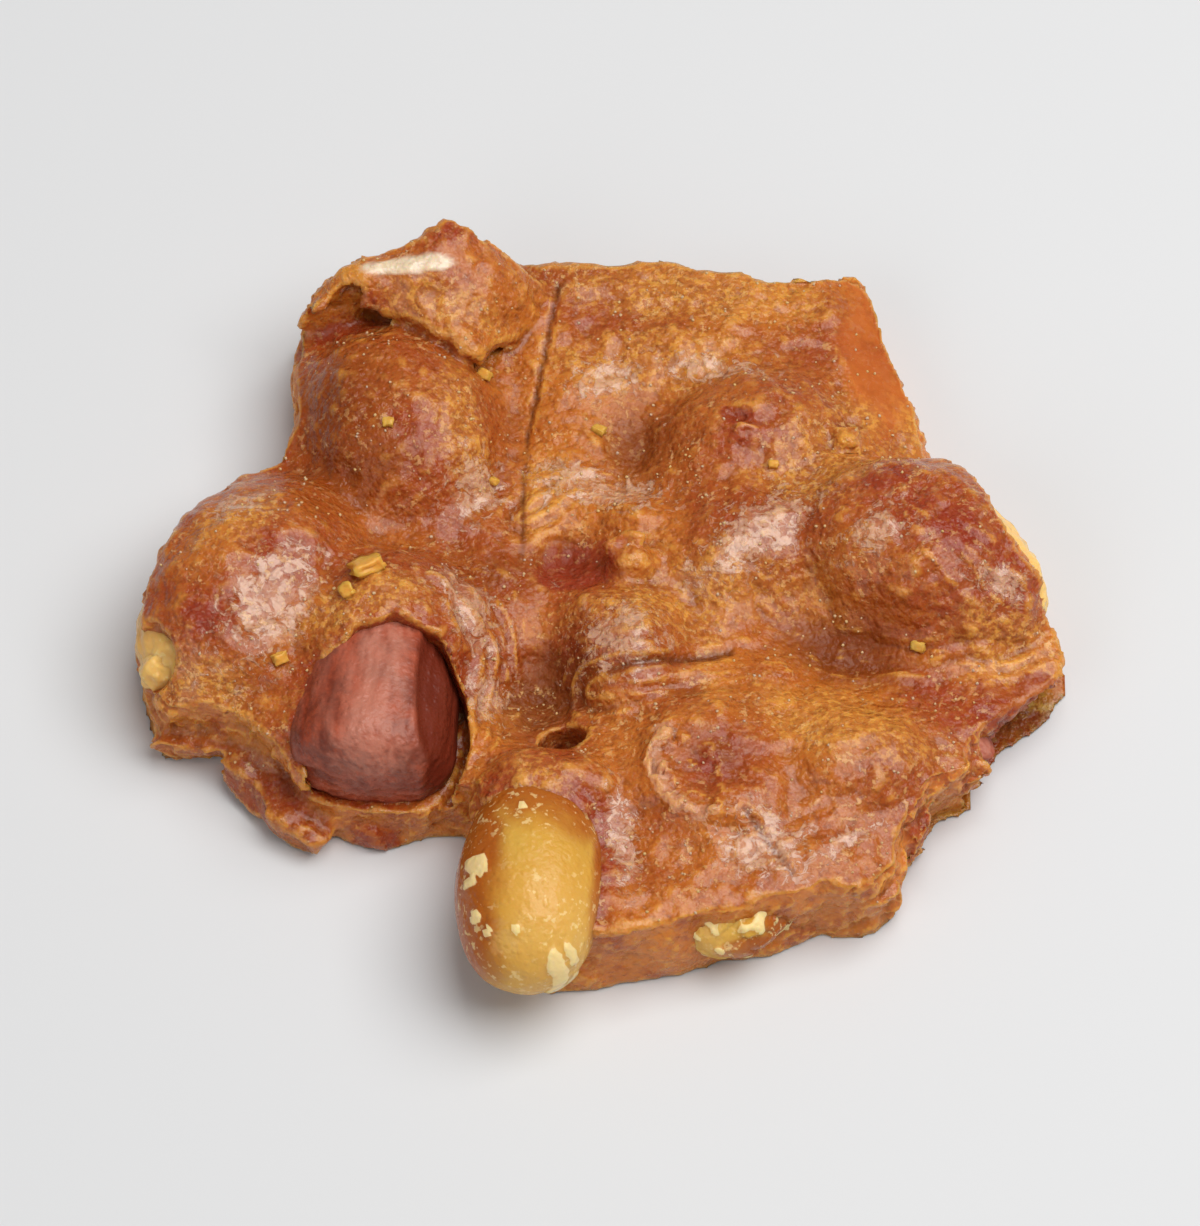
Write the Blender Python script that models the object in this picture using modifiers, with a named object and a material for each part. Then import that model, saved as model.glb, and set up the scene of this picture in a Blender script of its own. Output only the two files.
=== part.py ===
"""Peanut brittle shard: a broken piece of a poured candy sheet with whole peanuts set in it.

The shard lies on its flat underside, +Z up, with its glossy top up. +X runs along its longer side and +Y to its
long back edge. The origin is the middle of its box, on the surface it rests on.
"""

import math
from dataclasses import dataclass

import bmesh
import bpy
from mathutils import Matrix, Vector, noise

MM = 0.001

# The poured sheet before it was broken. It reaches below the floor plane, where the break cuts it flat.
SHEET_THICKNESS = 5.8 * MM
SHEET_LENGTH = 76 * MM
SHEET_WIDTH = 68 * MM
SHEET_BELOW = 3.0 * MM
SHEET_VOXEL = 0.75 * MM
MELT_STEPS = 6
WAVE_HEIGHT = 0.9 * MM
WAVE_LENGTH = 11 * MM

# The broken outline seen from above: the corners of each side, in order round the shard.
BACK_EDGE = ((-18.2, 22.9), (-15.6, 24.0), (-10.2, 25.2), (-5.6, 25.9), (-1.4, 26.2), (3.7, 26.3), (7.2, 25.6),
             (11.3, 25.0), (16.2, 25.7))
RIGHT_EDGE = ((17.4, 24.6), (18.6, 20.4), (20.3, 16.0), (21.6, 11.6), (23.6, 8.9), (25.7, 6.3), (27.5, 3.2),
              (28.5, 0.6), (29.9, -3.2))
FRONT_RIGHT_EDGE = ((28.8, -4.9), (26.9, -6.4), (25.0, -8.2), (23.6, -9.6), (23.7, -11.6), (21.8, -12.6),
                    (20.0, -14.5), (19.1, -16.4), (19.0, -18.6), (17.4, -20.4), (15.6, -20.8), (14.2, -20.4),
                    (12.4, -21.3), (8.0, -22.6), (4.8, -23.4), (1.1, -24.0), (-2.6, -24.4))
FRONT_LEFT_EDGE = ((-4.4, -22.6), (-5.2, -17.6), (-7.2, -13.2), (-10.4, -13.0), (-13.0, -13.6), (-16.2, -12.7),
                   (-18.2, -13.1), (-19.8, -10.6), (-21.6, -8.3), (-24.0, -7.6), (-26.6, -7.4))
LEFT_EDGE = ((-28.0, -5.6), (-28.5, -3.4), (-28.3, -0.6), (-27.4, 2.2), (-26.2, 4.8), (-24.6, 7.3), (-22.4, 9.7),
             (-20.0, 11.2), (-19.2, 13.4), (-19.2, 17.0), (-18.9, 20.6))
OUTLINE = BACK_EDGE + RIGHT_EDGE + FRONT_RIGHT_EDGE + FRONT_LEFT_EDGE + LEFT_EDGE
OUTLINE_STEP = 1.7 * MM
WALL_BOTTOM = -1.0 * MM
WALL_HEIGHT = 16 * MM
WALL_CUTS = 7
WALL_LEAN = 0.5 * MM
WALL_ROUGHNESS = 0.8 * MM
WALL_GRAIN = 3.2 * MM

# The lifted flake at the back left corner: its rim, in order round its top, and its thickness.
FLAKE_RIM = ((-18.3, 21.4, 9.3), (-15.0, 23.8, 10.7), (-12.6, 24.5, 11.1), (-9.5, 25.7, 11.6), (-7.4, 26.3, 11.9),
             (-4.9, 25.3, 9.6), (-4.6, 21.0, 8.0), (-7.1, 17.6, 7.9), (-10.9, 19.4, 9.1), (-14.4, 21.2, 9.7))
FLAKE_THICKNESS = 2.1 * MM

# The smooth sloping facet that broke off along the back part of the right edge: a cutting box and its tilt.
FACET_MIDDLE = (21.4, 19.0, 7.3)
FACET_SIZE = (9.6, 17.0, 6.0)
FACET_TURN = (0, 24, 14)

# Triangles kept in the candy before it is broken, and the clearance that touching pieces keep.
CANDY_SHARE_KEPT = 0.125
SOCKET_GAP = 0.3 * MM


@dataclass(frozen=True)
class Oval:
    """A kernel or a kernel-like swell: middle, size along its axes, and the heading of its long axis in plan."""

    name: str
    middle: tuple
    size: tuple
    heading: float
    pitch: float = 0.0


# Swells of the candy, mostly over kernels that it hides.
RISES = (
    Oval("shoulder", (-12.2, 13.8, 5.0), (15.6, 12.4, 9.4), -62),
    Oval("left_end", (-22.3, 1.9, 5.1), (18.2, 13.4, 10.2), 56),
    Oval("right_end", (21.0, 4.0, 5.2), (17.8, 12.8, 9.8), -28),
    Oval("back_middle", (9.6, 12.4, 4.2), (14.6, 11.0, 8.0), 20),
    Oval("chip_ring", (2.9, 6.6, 5.2), (4.8, 3.8, 4.4), 20),
    Oval("centre", (1.7, -3.9, 4.6), (9.8, 8.4, 7.6), 100),
    Oval("centre_right", (10.4, 3.4, 4.2), (14.0, 7.0, 6.8), 47),
    Oval("blister", (6.4, -12.2, 4.8), (10.4, 9.6, 8.4), -50),
    Oval("front_right", (16.8, -11.4, 3.8), (13.0, 9.0, 7.2), -20),
    Oval("skin_collar", (-12.8, -1.6, 5.4), (11.6, 13.4, 10.0), 84),
    Oval("skin_web_right", (-7.8, -7.0, 4.8), (11.0, 4.4, 6.8), 80),
    Oval("skin_web_left", (-18.6, -6.6, 4.6), (9.0, 5.0, 6.6), 70),
    Oval("flake_root", (-8.0, 23.2, 6.0), (8.6, 6.0, 9.0), 10),
    Oval("bare_collar", (-2.4, -12.6, 5.4), (6.4, 8.6, 8.4), 80),
)

# Hollows of the candy.
DIPS = (
    Oval("valley", (-3.0, -6.4, 6.4), (7.6, 5.4, 6.0), 60),
    Oval("pit", (-1.7, -8.0, 4.2), (3.6, 3.2, 7.6), 0),
    Oval("back_hollow", (3.0, 12.6, 7.6), (9.6, 7.4, 5.0), 70),
    Oval("small_hollow", (-1.5, 5.2, 6.6), (4.6, 4.2, 4.0), 0),
    Oval("blister_hollow", (7.8, -12.0, 8.9), (6.4, 5.6, 4.0), 40),
    Oval("right_valley", (15.6, -3.6, 7.2), (9.6, 6.0, 4.6), -20),
    Oval("skin_window", (-13.4, -9.8, 8.2), (11.6, 12.6, 9.6), 90),
)

# Kernels that show where the candy has broken away from them.
KERNELS = (
    Oval("peanut_bare_front", (-3.9, -19.5, 5.4), (16.8, 9.5, 8.8), 86.7),
    Oval("peanut_skin_front", (-13.4, -6.3, 5.3), (14.6, 10.6, 8.8), 84),
    Oval("peanut_left_end", (-23.5, 0.8, 4.9), (15.4, 10.2, 7.8), 53),
    Oval("peanut_right_end", (21.6, 3.9, 5.0), (15.6, 10.6, 8.0), -28),
    Oval("peanut_skin_notch", (21.8, -7.5, 3.3), (8.4, 5.8, 4.4), -32),
    Oval("peanut_fragment", (9.1, -21.2, 3.2), (7.4, 5.0, 4.0), 16),
)
SKINNED = ("peanut_skin_front", "peanut_skin_notch")
KERNEL_AROUND = 18
KERNEL_ALONG = 11


def collection(name):
    made = bpy.data.collections.new(name)
    bpy.context.scene.collection.children.link(made)
    return made


def clear_scene():
    for obj in list(bpy.data.objects):
        bpy.data.objects.remove(obj)


def finish(name, colour, roughness):
    """A Principled BSDF in one colour."""
    material = bpy.data.materials.new(name)
    material.use_nodes = True
    shader = material.node_tree.nodes["Principled BSDF"]
    shader.inputs["Base Color"].default_value = (*colour, 1.0)
    shader.inputs["Roughness"].default_value = roughness
    shader.inputs["Metallic"].default_value = 0.0
    return material


def add_object(name, bm, home, material=None):
    """Turns a bmesh into an object of the collection home."""
    mesh = bpy.data.meshes.new(name)
    bm.to_mesh(mesh)
    bm.free()
    mesh.shade_smooth()
    obj = bpy.data.objects.new(name, mesh)
    home.objects.link(obj)
    if material:
        mesh.materials.append(material)
    return obj


def as_cutter(obj):
    obj.hide_render = True
    obj.display_type = "WIRE"
    return obj


def place_oval(bm, verts, oval):
    """Moves shapes made at the origin, with their long axis on X, to where the oval lies."""
    place = (Matrix.Translation(Vector(oval.middle) * MM)
             @ Matrix.Rotation(math.radians(oval.heading), 4, "Z")
             @ Matrix.Rotation(math.radians(oval.pitch), 4, "Y"))
    bmesh.ops.transform(bm, matrix=place, verts=verts)
    bmesh.ops.recalc_face_normals(bm, faces=bm.faces)


def swell(bm, oval):
    """Adds a plain ellipsoid."""
    made = bmesh.ops.create_uvsphere(bm, u_segments=28, v_segments=16, radius=0.5)["verts"]
    bmesh.ops.scale(bm, verts=made, vec=Vector(oval.size) * MM)
    place_oval(bm, made, oval)


def kernel(bm, oval, grow=0.0):
    """Adds a peanut kernel: a blunt oval, slimmer at its germ end, which ends in a small point."""
    length, width, height = (side * MM / 2 + grow for side in oval.size)
    made = bmesh.ops.create_uvsphere(bm, u_segments=KERNEL_AROUND, v_segments=KERNEL_ALONG, radius=1)["verts"]
    for vert in made:
        across, up, t = vert.co
        slim = 1.0 - 0.09 * t
        vert.co.x = length * (t * (1.08 - 0.12 * t * t) + 0.06 * max(0.0, t) ** 10)
        vert.co.y = width * across * slim
        vert.co.z = height * up * slim
    place_oval(bm, made, oval)


def spaced(corners, step):
    """Points about a step apart along the closed line through the corners."""
    points = []
    for start, end in zip(corners, corners[1:] + corners[:1]):
        start, end = Vector(start) * MM, Vector(end) * MM
        count = max(1, round((end - start).length / step))
        points += [start.lerp(end, i / count) for i in range(count)]
    return points


def slab(name, points, thickness, home):
    """A closed slab of an outline in plan, from z = 0 up, as a bmesh."""
    curve = bpy.data.curves.new(name, "CURVE")
    curve.dimensions = "2D"
    curve.fill_mode = "BOTH"
    curve.extrude = thickness / 2
    spline = curve.splines.new("POLY")
    spline.points.add(len(points) - 1)
    for point, place in zip(spline.points, points):
        point.co = (*place, 0.0, 1.0)
    spline.use_cyclic_u = True
    outline = bpy.data.objects.new(name, curve)
    home.objects.link(outline)
    graph = bpy.context.evaluated_depsgraph_get()
    bm = bmesh.new()
    bm.from_mesh(bpy.data.meshes.new_from_object(outline.evaluated_get(graph)))
    bpy.data.objects.remove(outline)
    bmesh.ops.remove_doubles(bm, verts=bm.verts, dist=0.01 * MM)
    bmesh.ops.translate(bm, verts=bm.verts, vec=(0, 0, thickness / 2))
    bmesh.ops.recalc_face_normals(bm, faces=bm.faces)
    bm.normal_update()
    level = [e for e in bm.edges if all(abs(f.normal.z) > 0.9 for f in e.link_faces)]
    bmesh.ops.dissolve_edges(bm, edges=level)
    return bm


def broken_wall(home):
    """The solid that the sheet is broken to. Its rough walls lean out a little towards the floor."""
    bm = slab("broken_wall", spaced(OUTLINE, OUTLINE_STEP), WALL_HEIGHT, home)
    bmesh.ops.translate(bm, verts=bm.verts, vec=(0, 0, WALL_BOTTOM))
    upright = [e for e in bm.edges if abs(e.verts[0].co.z - e.verts[1].co.z) > WALL_HEIGHT / 2]
    bmesh.ops.subdivide_edges(bm, edges=upright, cuts=WALL_CUTS, use_grid_fill=True)
    bm.normal_update()
    outward = {}
    for vert in bm.verts:
        sides = [f.normal for f in vert.link_faces if abs(f.normal.z) < 0.5]
        outward[vert] = sum(sides, Vector()).normalized()
    for vert, direction in outward.items():
        lean = WALL_LEAN * max(0.0, 1.0 - vert.co.z / SHEET_THICKNESS)
        rough = WALL_ROUGHNESS * noise.noise(vert.co / WALL_GRAIN)
        vert.co += direction * (lean + rough)
    bmesh.ops.triangulate(bm, faces=bm.faces)
    return as_cutter(add_object("broken_wall", bm, home))


def floor_cutter(home):
    """Everything below the surface that the shard rests on."""
    bm = bmesh.new()
    bmesh.ops.create_cube(bm, size=1.0)
    bmesh.ops.scale(bm, verts=bm.verts, vec=(2 * SHEET_LENGTH, 2 * SHEET_WIDTH, 4 * SHEET_BELOW))
    bmesh.ops.translate(bm, verts=bm.verts, vec=(0, 0, -2 * SHEET_BELOW))
    return as_cutter(add_object("floor_cutter", bm, home))


def flake(bm):
    """Adds a thin flake: its uneven rim, filled and given its thickness downwards."""
    rim = [bm.verts.new(Vector(corner) * MM) for corner in FLAKE_RIM]
    top = bm.faces.new(rim)
    under = bmesh.ops.extrude_face_region(bm, geom=[top])["geom"]
    low = [item for item in under if isinstance(item, bmesh.types.BMVert)]
    bmesh.ops.translate(bm, verts=low, vec=(0, 0, -FLAKE_THICKNESS))
    faces = {face for vert in rim + low for face in vert.link_faces}
    bmesh.ops.triangulate(bm, faces=list(faces))
    bmesh.ops.recalc_face_normals(bm, faces=bm.faces)


def facet_cutter(home):
    bm = bmesh.new()
    bmesh.ops.create_cube(bm, size=1.0)
    bmesh.ops.scale(bm, verts=bm.verts, vec=Vector(FACET_SIZE) * MM)
    for angle, axis in zip(FACET_TURN, "XYZ"):
        bmesh.ops.rotate(bm, verts=bm.verts, cent=(0, 0, 0), matrix=Matrix.Rotation(math.radians(angle), 3, axis))
    bmesh.ops.translate(bm, verts=bm.verts, vec=Vector(FACET_MIDDLE) * MM)
    return as_cutter(add_object("facet", bm, home))


def boolean(obj, name, operation, other):
    """Adds a Boolean with an object or with every object of a collection."""
    modifier = obj.modifiers.new(name, "BOOLEAN")
    modifier.operation = operation
    if isinstance(other, bpy.types.Collection):
        modifier.operand_type = "COLLECTION"
        modifier.collection = other
    else:
        modifier.object = other
    return modifier


def voxel_melt(obj, name):
    """Merges everything in an object's mesh into one skin and rounds it off."""
    voxels = obj.modifiers.new(name + "_voxels", "REMESH")
    voxels.mode = "VOXEL"
    voxels.voxel_size = SHEET_VOXEL
    voxels.use_smooth_shade = True
    soften = obj.modifiers.new(name + "_soften", "SMOOTH")
    soften.factor = 0.5
    soften.iterations = MELT_STEPS


def poured_sheet(home, cutters, material):
    """The candy sheet, larger than the shard, with its swells, its flake and its hollows melted together."""
    bm = bmesh.new()
    bmesh.ops.create_cube(bm, size=1.0)
    bmesh.ops.scale(bm, verts=bm.verts, vec=(SHEET_LENGTH, SHEET_WIDTH, SHEET_THICKNESS + SHEET_BELOW))
    bmesh.ops.translate(bm, verts=bm.verts, vec=(0, 0, (SHEET_THICKNESS - SHEET_BELOW) / 2))
    for oval in RISES:
        swell(bm, oval)
    flake(bm)
    sheet = add_object("brittle", bm, home, material)
    voxel_melt(sheet, "rises")

    hollows = collection("hollows")
    for oval in DIPS:
        bm = bmesh.new()
        swell(bm, oval)
        as_cutter(add_object(oval.name, bm, hollows))
    facet_cutter(hollows)
    boolean(sheet, "hollows", "DIFFERENCE", hollows)
    voxel_melt(sheet, "hollows")

    clouds = bpy.data.textures.new("waves", "CLOUDS")
    clouds.noise_scale = WAVE_LENGTH
    waves = sheet.modifiers.new("waves", "DISPLACE")
    waves.texture = clouds
    waves.texture_coords = "LOCAL"
    waves.direction = "Z"
    waves.strength = WAVE_HEIGHT
    thin = sheet.modifiers.new("thin_out", "DECIMATE")
    thin.ratio = CANDY_SHARE_KEPT
    return sheet


def centre_on_origin(shown):
    """Moves everything so that the box of the shown objects stands on the origin."""
    graph = bpy.context.evaluated_depsgraph_get()
    corners = [Vector(corner) for obj in shown for corner in obj.evaluated_get(graph).bound_box]
    low = Vector(map(min, zip(*corners)))
    high = Vector(map(max, zip(*corners)))
    middle = (low + high) / 2
    for obj in bpy.data.objects:
        obj.location -= Vector((middle.x, middle.y, low.z))


def main():
    clear_scene()
    shard = collection("peanut_brittle_shard")
    cutters = collection("cutters")
    sockets = collection("sockets")
    candy = finish("candy", (0.50, 0.18, 0.055), 0.3)
    bare = finish("roasted_kernel", (0.74, 0.43, 0.115), 0.35)
    skin = finish("red_skin", (0.33, 0.095, 0.05), 0.35)

    brittle = poured_sheet(shard, cutters, candy)
    boolean(brittle, "break", "INTERSECT", broken_wall(cutters))
    boolean(brittle, "floor", "DIFFERENCE", floor_cutter(cutters))
    for oval in KERNELS:
        bm = bmesh.new()
        kernel(bm, oval)
        add_object(oval.name, bm, shard, skin if oval.name in SKINNED else bare)
        bm = bmesh.new()
        kernel(bm, oval, SOCKET_GAP)
        as_cutter(add_object("socket_" + oval.name, bm, sockets))
    boolean(brittle, "sockets", "DIFFERENCE", sockets)
    centre_on_origin(shard.objects)


main()
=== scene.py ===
"""Peanut brittle shard: the finished looks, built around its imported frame.

A glossy amber sheet of brittle with peanuts under it and in its broken edges lies flat on a pale table. The script
is laid out as a Blender add-on: sizes and colours are properties, and each kind of piece has its own operator.
Shapes are written in millimetres, from the same starting point for every piece.
"""

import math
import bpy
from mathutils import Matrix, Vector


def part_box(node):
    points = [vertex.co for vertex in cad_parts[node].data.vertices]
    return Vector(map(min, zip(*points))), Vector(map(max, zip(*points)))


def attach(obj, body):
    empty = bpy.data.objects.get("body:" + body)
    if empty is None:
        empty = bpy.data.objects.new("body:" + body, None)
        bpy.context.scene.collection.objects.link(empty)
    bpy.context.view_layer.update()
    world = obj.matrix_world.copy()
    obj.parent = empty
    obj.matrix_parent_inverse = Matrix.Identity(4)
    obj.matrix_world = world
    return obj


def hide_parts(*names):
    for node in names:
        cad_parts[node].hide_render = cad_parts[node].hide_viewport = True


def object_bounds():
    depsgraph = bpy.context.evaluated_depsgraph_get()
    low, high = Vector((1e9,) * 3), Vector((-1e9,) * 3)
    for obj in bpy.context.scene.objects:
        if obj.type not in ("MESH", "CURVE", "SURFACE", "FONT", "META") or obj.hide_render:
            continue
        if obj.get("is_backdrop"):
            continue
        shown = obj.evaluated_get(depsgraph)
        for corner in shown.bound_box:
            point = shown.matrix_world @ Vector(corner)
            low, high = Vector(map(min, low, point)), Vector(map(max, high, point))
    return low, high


bl_info = {
    "name": "Peanut Brittle Shard",
    "version": (1, 0, 0),
    "blender": (4, 5, 0),
    "location": "View3D > Sidebar > Brittle",
    "description": "Builds a broken shard of peanut brittle with its kernels, crumbs and a table to lie on",
    "category": "Add Mesh",
}

from dataclasses import dataclass

import bmesh
import bpy
import numpy as np
from bpy.props import FloatProperty, FloatVectorProperty, PointerProperty
from mathutils import Matrix, Vector, noise
from mathutils.bvhtree import BVHTree

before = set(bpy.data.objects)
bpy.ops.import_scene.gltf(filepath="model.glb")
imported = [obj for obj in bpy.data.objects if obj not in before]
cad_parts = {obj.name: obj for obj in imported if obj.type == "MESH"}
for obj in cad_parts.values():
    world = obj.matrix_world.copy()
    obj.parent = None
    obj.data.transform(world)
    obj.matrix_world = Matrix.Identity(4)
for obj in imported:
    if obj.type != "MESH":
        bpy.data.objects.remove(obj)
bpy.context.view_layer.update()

MM = 0.001
# Without a seed, the noise that makes edges ragged would differ in each run.
NOISE_SEED = 5

# The poured sheet before it was broken.
SHEET_THICKNESS = 5.8
SHEET_LENGTH = 66.0
SHEET_WIDTH = 58.0
SHEET_BELOW = 3.0

# The broken outline seen from above: the corners of each side, in order round the shard.
BACK_EDGE = ((-18.2, 22.9), (-15.6, 24.0), (-10.2, 25.2), (-5.6, 25.9), (-1.4, 26.2), (3.7, 26.3), (7.2, 25.6),
             (11.3, 25.0), (16.2, 25.7))
RIGHT_EDGE = ((17.4, 24.6), (18.6, 20.4), (20.3, 16.0), (21.6, 11.6), (23.6, 8.9), (25.7, 6.3), (27.5, 3.2),
              (28.5, 0.6), (29.9, -3.2))
FRONT_RIGHT_EDGE = ((28.8, -4.9), (26.9, -6.4), (25.0, -8.2), (23.6, -9.6), (23.7, -11.6), (21.8, -12.6),
                    (20.0, -14.5), (19.1, -16.4), (19.0, -18.6), (17.4, -20.4), (15.6, -20.8), (14.2, -20.4),
                    (12.4, -21.3), (8.0, -22.6), (4.8, -23.4), (1.1, -24.0), (-2.6, -24.4))
FRONT_LEFT_EDGE = ((-4.4, -22.6), (-5.2, -17.6), (-7.2, -13.4), (-10.4, -13.6), (-13.0, -14.1), (-16.2, -13.1),
                   (-18.2, -13.1), (-19.8, -10.6), (-21.6, -8.3), (-24.0, -7.6), (-26.6, -7.4))
LEFT_EDGE = ((-28.0, -5.6), (-28.5, -3.4), (-28.3, -0.6), (-27.4, 2.2), (-26.2, 4.8), (-24.6, 7.3), (-22.4, 9.7),
             (-20.0, 11.2), (-19.2, 13.4), (-19.2, 17.0), (-18.9, 20.6))
OUTLINE = BACK_EDGE + RIGHT_EDGE + FRONT_RIGHT_EDGE + FRONT_LEFT_EDGE + LEFT_EDGE
WALL_BOTTOM = -1.0
WALL_HEIGHT = 16.0
WALL_LEAN = 0.4
FAR = 9.0

# The lifted flake at the back left corner: rows of places from its back edge over its fold to its free edge.
FLAKE_ROWS = (
    ((-18.3, 20.3, 9.0), (-16.7, 22.5, 9.7), (-15.2, 23.3, 10.2), (-12.9, 23.9, 10.2), (-11.2, 24.9, 10.4),
     (-9.5, 26.1, 10.9), (-7.9, 25.6, 10.7), (-6.2, 24.9, 9.6), (-4.6, 24.3, 8.0), (-3.4, 24.2, 6.4)),
    ((-18.2, 20.1, 9.1), (-16.6, 22.0, 10.0), (-15.0, 22.7, 10.5), (-12.9, 22.7, 10.7), (-11.2, 22.9, 10.8),
     (-9.6, 23.2, 10.8), (-8.2, 23.3, 10.6), (-6.4, 23.2, 9.7), (-4.9, 23.0, 8.2), (-3.6, 23.0, 6.4)),
    ((-18.2, 19.9, 9.0), (-16.5, 21.4, 9.9), (-15.0, 21.9, 10.4), (-12.9, 22.1, 10.7), (-11.2, 22.3, 10.8),
     (-9.7, 22.5, 10.8), (-8.3, 22.4, 10.4), (-6.6, 22.2, 9.5), (-5.1, 22.0, 8.0), (-3.8, 22.0, 6.4)),
    ((-18.2, 19.7, 8.8), (-16.5, 20.9, 9.4), (-14.8, 21.0, 9.6), (-12.8, 20.9, 9.7), (-11.2, 20.7, 9.6),
     (-9.7, 20.4, 9.4), (-8.4, 20.0, 9.1), (-7.2, 20.2, 8.6), (-5.6, 20.8, 7.5), (-4.2, 21.2, 6.3)),
    ((-18.1, 19.5, 8.5), (-16.6, 20.5, 8.8), (-15.2, 20.5, 9.0), (-13.0, 20.1, 9.1), (-11.5, 19.6, 9.0),
     (-9.7, 18.4, 8.7), (-8.2, 17.4, 8.4), (-7.2, 17.2, 8.0), (-6.3, 18.6, 7.2), (-4.8, 20.3, 6.2)),
)
FLAKE_THICKNESS = 1.1

# The smooth sloping facet that broke off along the back part of the right edge: a cutting box and its tilt.
FACET_SIZE = (9.6, 17.0, 6.0)
FACET_MIDDLE = (20.8, 19.0, 7.2)
FACET_TURN = (0, 24, 14)


@dataclass(frozen=True)
class Oval:
    """A kernel or a kernel-like swell: middle, size along its axes, and the heading of its long axis in plan."""

    name: str
    middle: tuple
    size: tuple
    heading: float
    over_kernel: bool = False


@dataclass(frozen=True)
class Chip:
    """A small broken block: middle, size, and its turns in degrees about X, Y and Z."""

    middle: tuple
    size: tuple
    turn: tuple = (0, 0, 0)


@dataclass(frozen=True)
class Ridge:
    """A raised line, or with a height below zero a groove, on the candy's top."""

    points: tuple
    width: float
    height: float


# Where the poured sheet swells, mostly over kernels.
RISES = (
    Oval("shoulder", (-12.2, 13.8, 5.0), (15.6, 12.4, 9.4), -62, True),
    Oval("left_end", (-21.8, 1.2, 5.1), (18.4, 13.4, 10.2), 56, True),
    Oval("right_end", (21.0, 4.0, 5.2), (17.8, 12.8, 9.8), -28, True),
    Oval("back_middle", (9.6, 12.4, 4.2), (14.6, 11.0, 8.0), 20, True),
    Oval("chip_ring", (2.9, 6.6, 5.2), (4.8, 3.8, 4.4), 20),
    Oval("centre", (1.5, -2.6, 4.6), (9.6, 9.2, 7.8), 100, True),
    Oval("centre_right", (9.8, 5.2, 4.2), (13.5, 11.0, 7.6), 30),
    Oval("blister", (7.2, -12.2, 4.2), (12.4, 11.6, 7.0), -50, True),
    Oval("front_right", (16.8, -11.4, 3.8), (13.0, 9.0, 7.2), -20, True),
    Oval("skin_collar", (-13.0, -2.4, 5.3), (12.2, 12.6, 9.9), 84, True),
    Oval("skin_flanks", (-13.4, -6.6, 5.0), (15.6, 11.8, 7.6), 84, True),
    Oval("skin_web_left", (-18.8, -6.4, 4.2), (9.0, 5.0, 6.0), 70),
    Oval("bare_collar", (-2.6, -13.2, 5.2), (4.6, 8.6, 5.4), 80),
)

# Sharper swells, put on after the sheet has been smoothed.
LATE_RISES = (
    Oval("flake_root", (-7.6, 23.4, 4.8), (7.4, 5.6, 8.0), 10),
    Oval("crater_nub", (2.3, 2.9, 6.5), (3.2, 2.5, 2.4), -20),
    Oval("flake_back", (-15.8, 22.5, 5.6), (8.4, 2.8, 8.8), 26),
    Oval("skin_rim_right", (-7.9, -9.4, 4.6), (7.0, 1.5, 4.6), 86),
)

# What laps over the break: a film of candy on the upper end of the bare kernel.
LAP = Oval("bare_lap", (-3.6, -14.4, 5.4), (7.4, 8.4, 6.5), 87)

# What is cut out of the candy once it is broken.
HOLES = (
    Oval("pit", (-1.9, -9.7, 5.0), (3.2, 2.7, 5.4), 14),
    Oval("slit", (7.1, -12.4, 6.6), (2.6, 0.55, 2.4), -48),
    Oval("right_pit", (16.1, -1.9, 6.0), (1.3, 0.9, 2.2), 20),
    Oval("flake_recess", (-16.2, 20.3, 8.0), (5.6, 2.4, 1.9), 8),
    Oval("flake_eye", (-15.8, 20.9, 9.2), (2.8, 1.6, 2.0), 38),
    Oval("left_break", (-20.6, -12.2, 3.7), (10.0, 4.4, 2.2), -42),
    Oval("left_tip", (-28.3, -4.7, 7.2), (4.4, 4.4, 5.0), 60),
    Oval("chip_recess", (9.0, 13.0, 8.3), (2.2, 1.1, 1.4), -10),
)


@dataclass(frozen=True)
class Dish:
    """A soft hollow in the candy's top, or with a depth below zero a soft swell."""

    middle: tuple
    size: tuple
    heading: float
    depth: float


# The arched window that the candy has left open over the front of the skinned kernel.
WINDOW = ((-12.6, -3.0), (-14.7, -3.9), (-16.4, -5.6), (-17.6, -7.8), (-18.1, -10.0), (-17.8, -12.4), (-16.8, -14.6),
          (-9.8, -14.6), (-8.2, -12.6), (-7.7, -9.6), (-8.0, -6.6), (-9.6, -4.2))
WINDOW_SILL = 3.1
CUP_HEIGHT = 3.2

# Soft hollows and swells, pressed in after that. The first ones also get painted shade, darker the deeper they are.
DISHES = (
    Dish((-2.9, -5.6), (9.0, 6.0), 60, 2.5),
    Dish((3.2, 12.4), (8.5, 6.5), 75, 1.5),
    Dish((-1.7, 4.0), (4.2, 3.6), 20, 1.5),
    Dish((15.2, -3.0), (11.0, 6.5), -25, 1.4),
    Dish((-5.2, 13.5), (5.0, 12.0), 8, 0.9),
    Dish((7.9, -12.3), (6.6, 6.2), 30, 0.9),
    Dish((7.0, -15.0), (26.0, 16.0), 4, -1.2),
    Dish((2.6, -18.0), (4.0, 8.0), 0, 0.5),
    Dish((9.0, 20.0), (18.0, 9.0), 0, -0.6),
    Dish((31.0, -4.0), (16.0, 14.0), 0, 1.6),
    Dish((20.0, -17.0), (9.0, 9.0), 0, 0.8),
)
SHADED_DISHES = DISHES[:5]

# Where the break undercuts the walls: place, reach and depth.
UNDERCUTS = (
    ((-25.0, -8.5), 6.0, 0.3), ((29.8, -3.6), 4.6, 2.2), ((26.0, -8.0), 3.5, 1.0),
    ((20.5, -14.5), 4.0, 0.8), ((-20.0, 12.0), 5.0, 0.8),
)

# A flat break on the far side of the right end, which leaves a sliver of its kernel bare.
SLICE = ((4.0, 7.2, 5.4), (28.7, 4.5, 6.6), (0, -18.5, 32.5))


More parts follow.
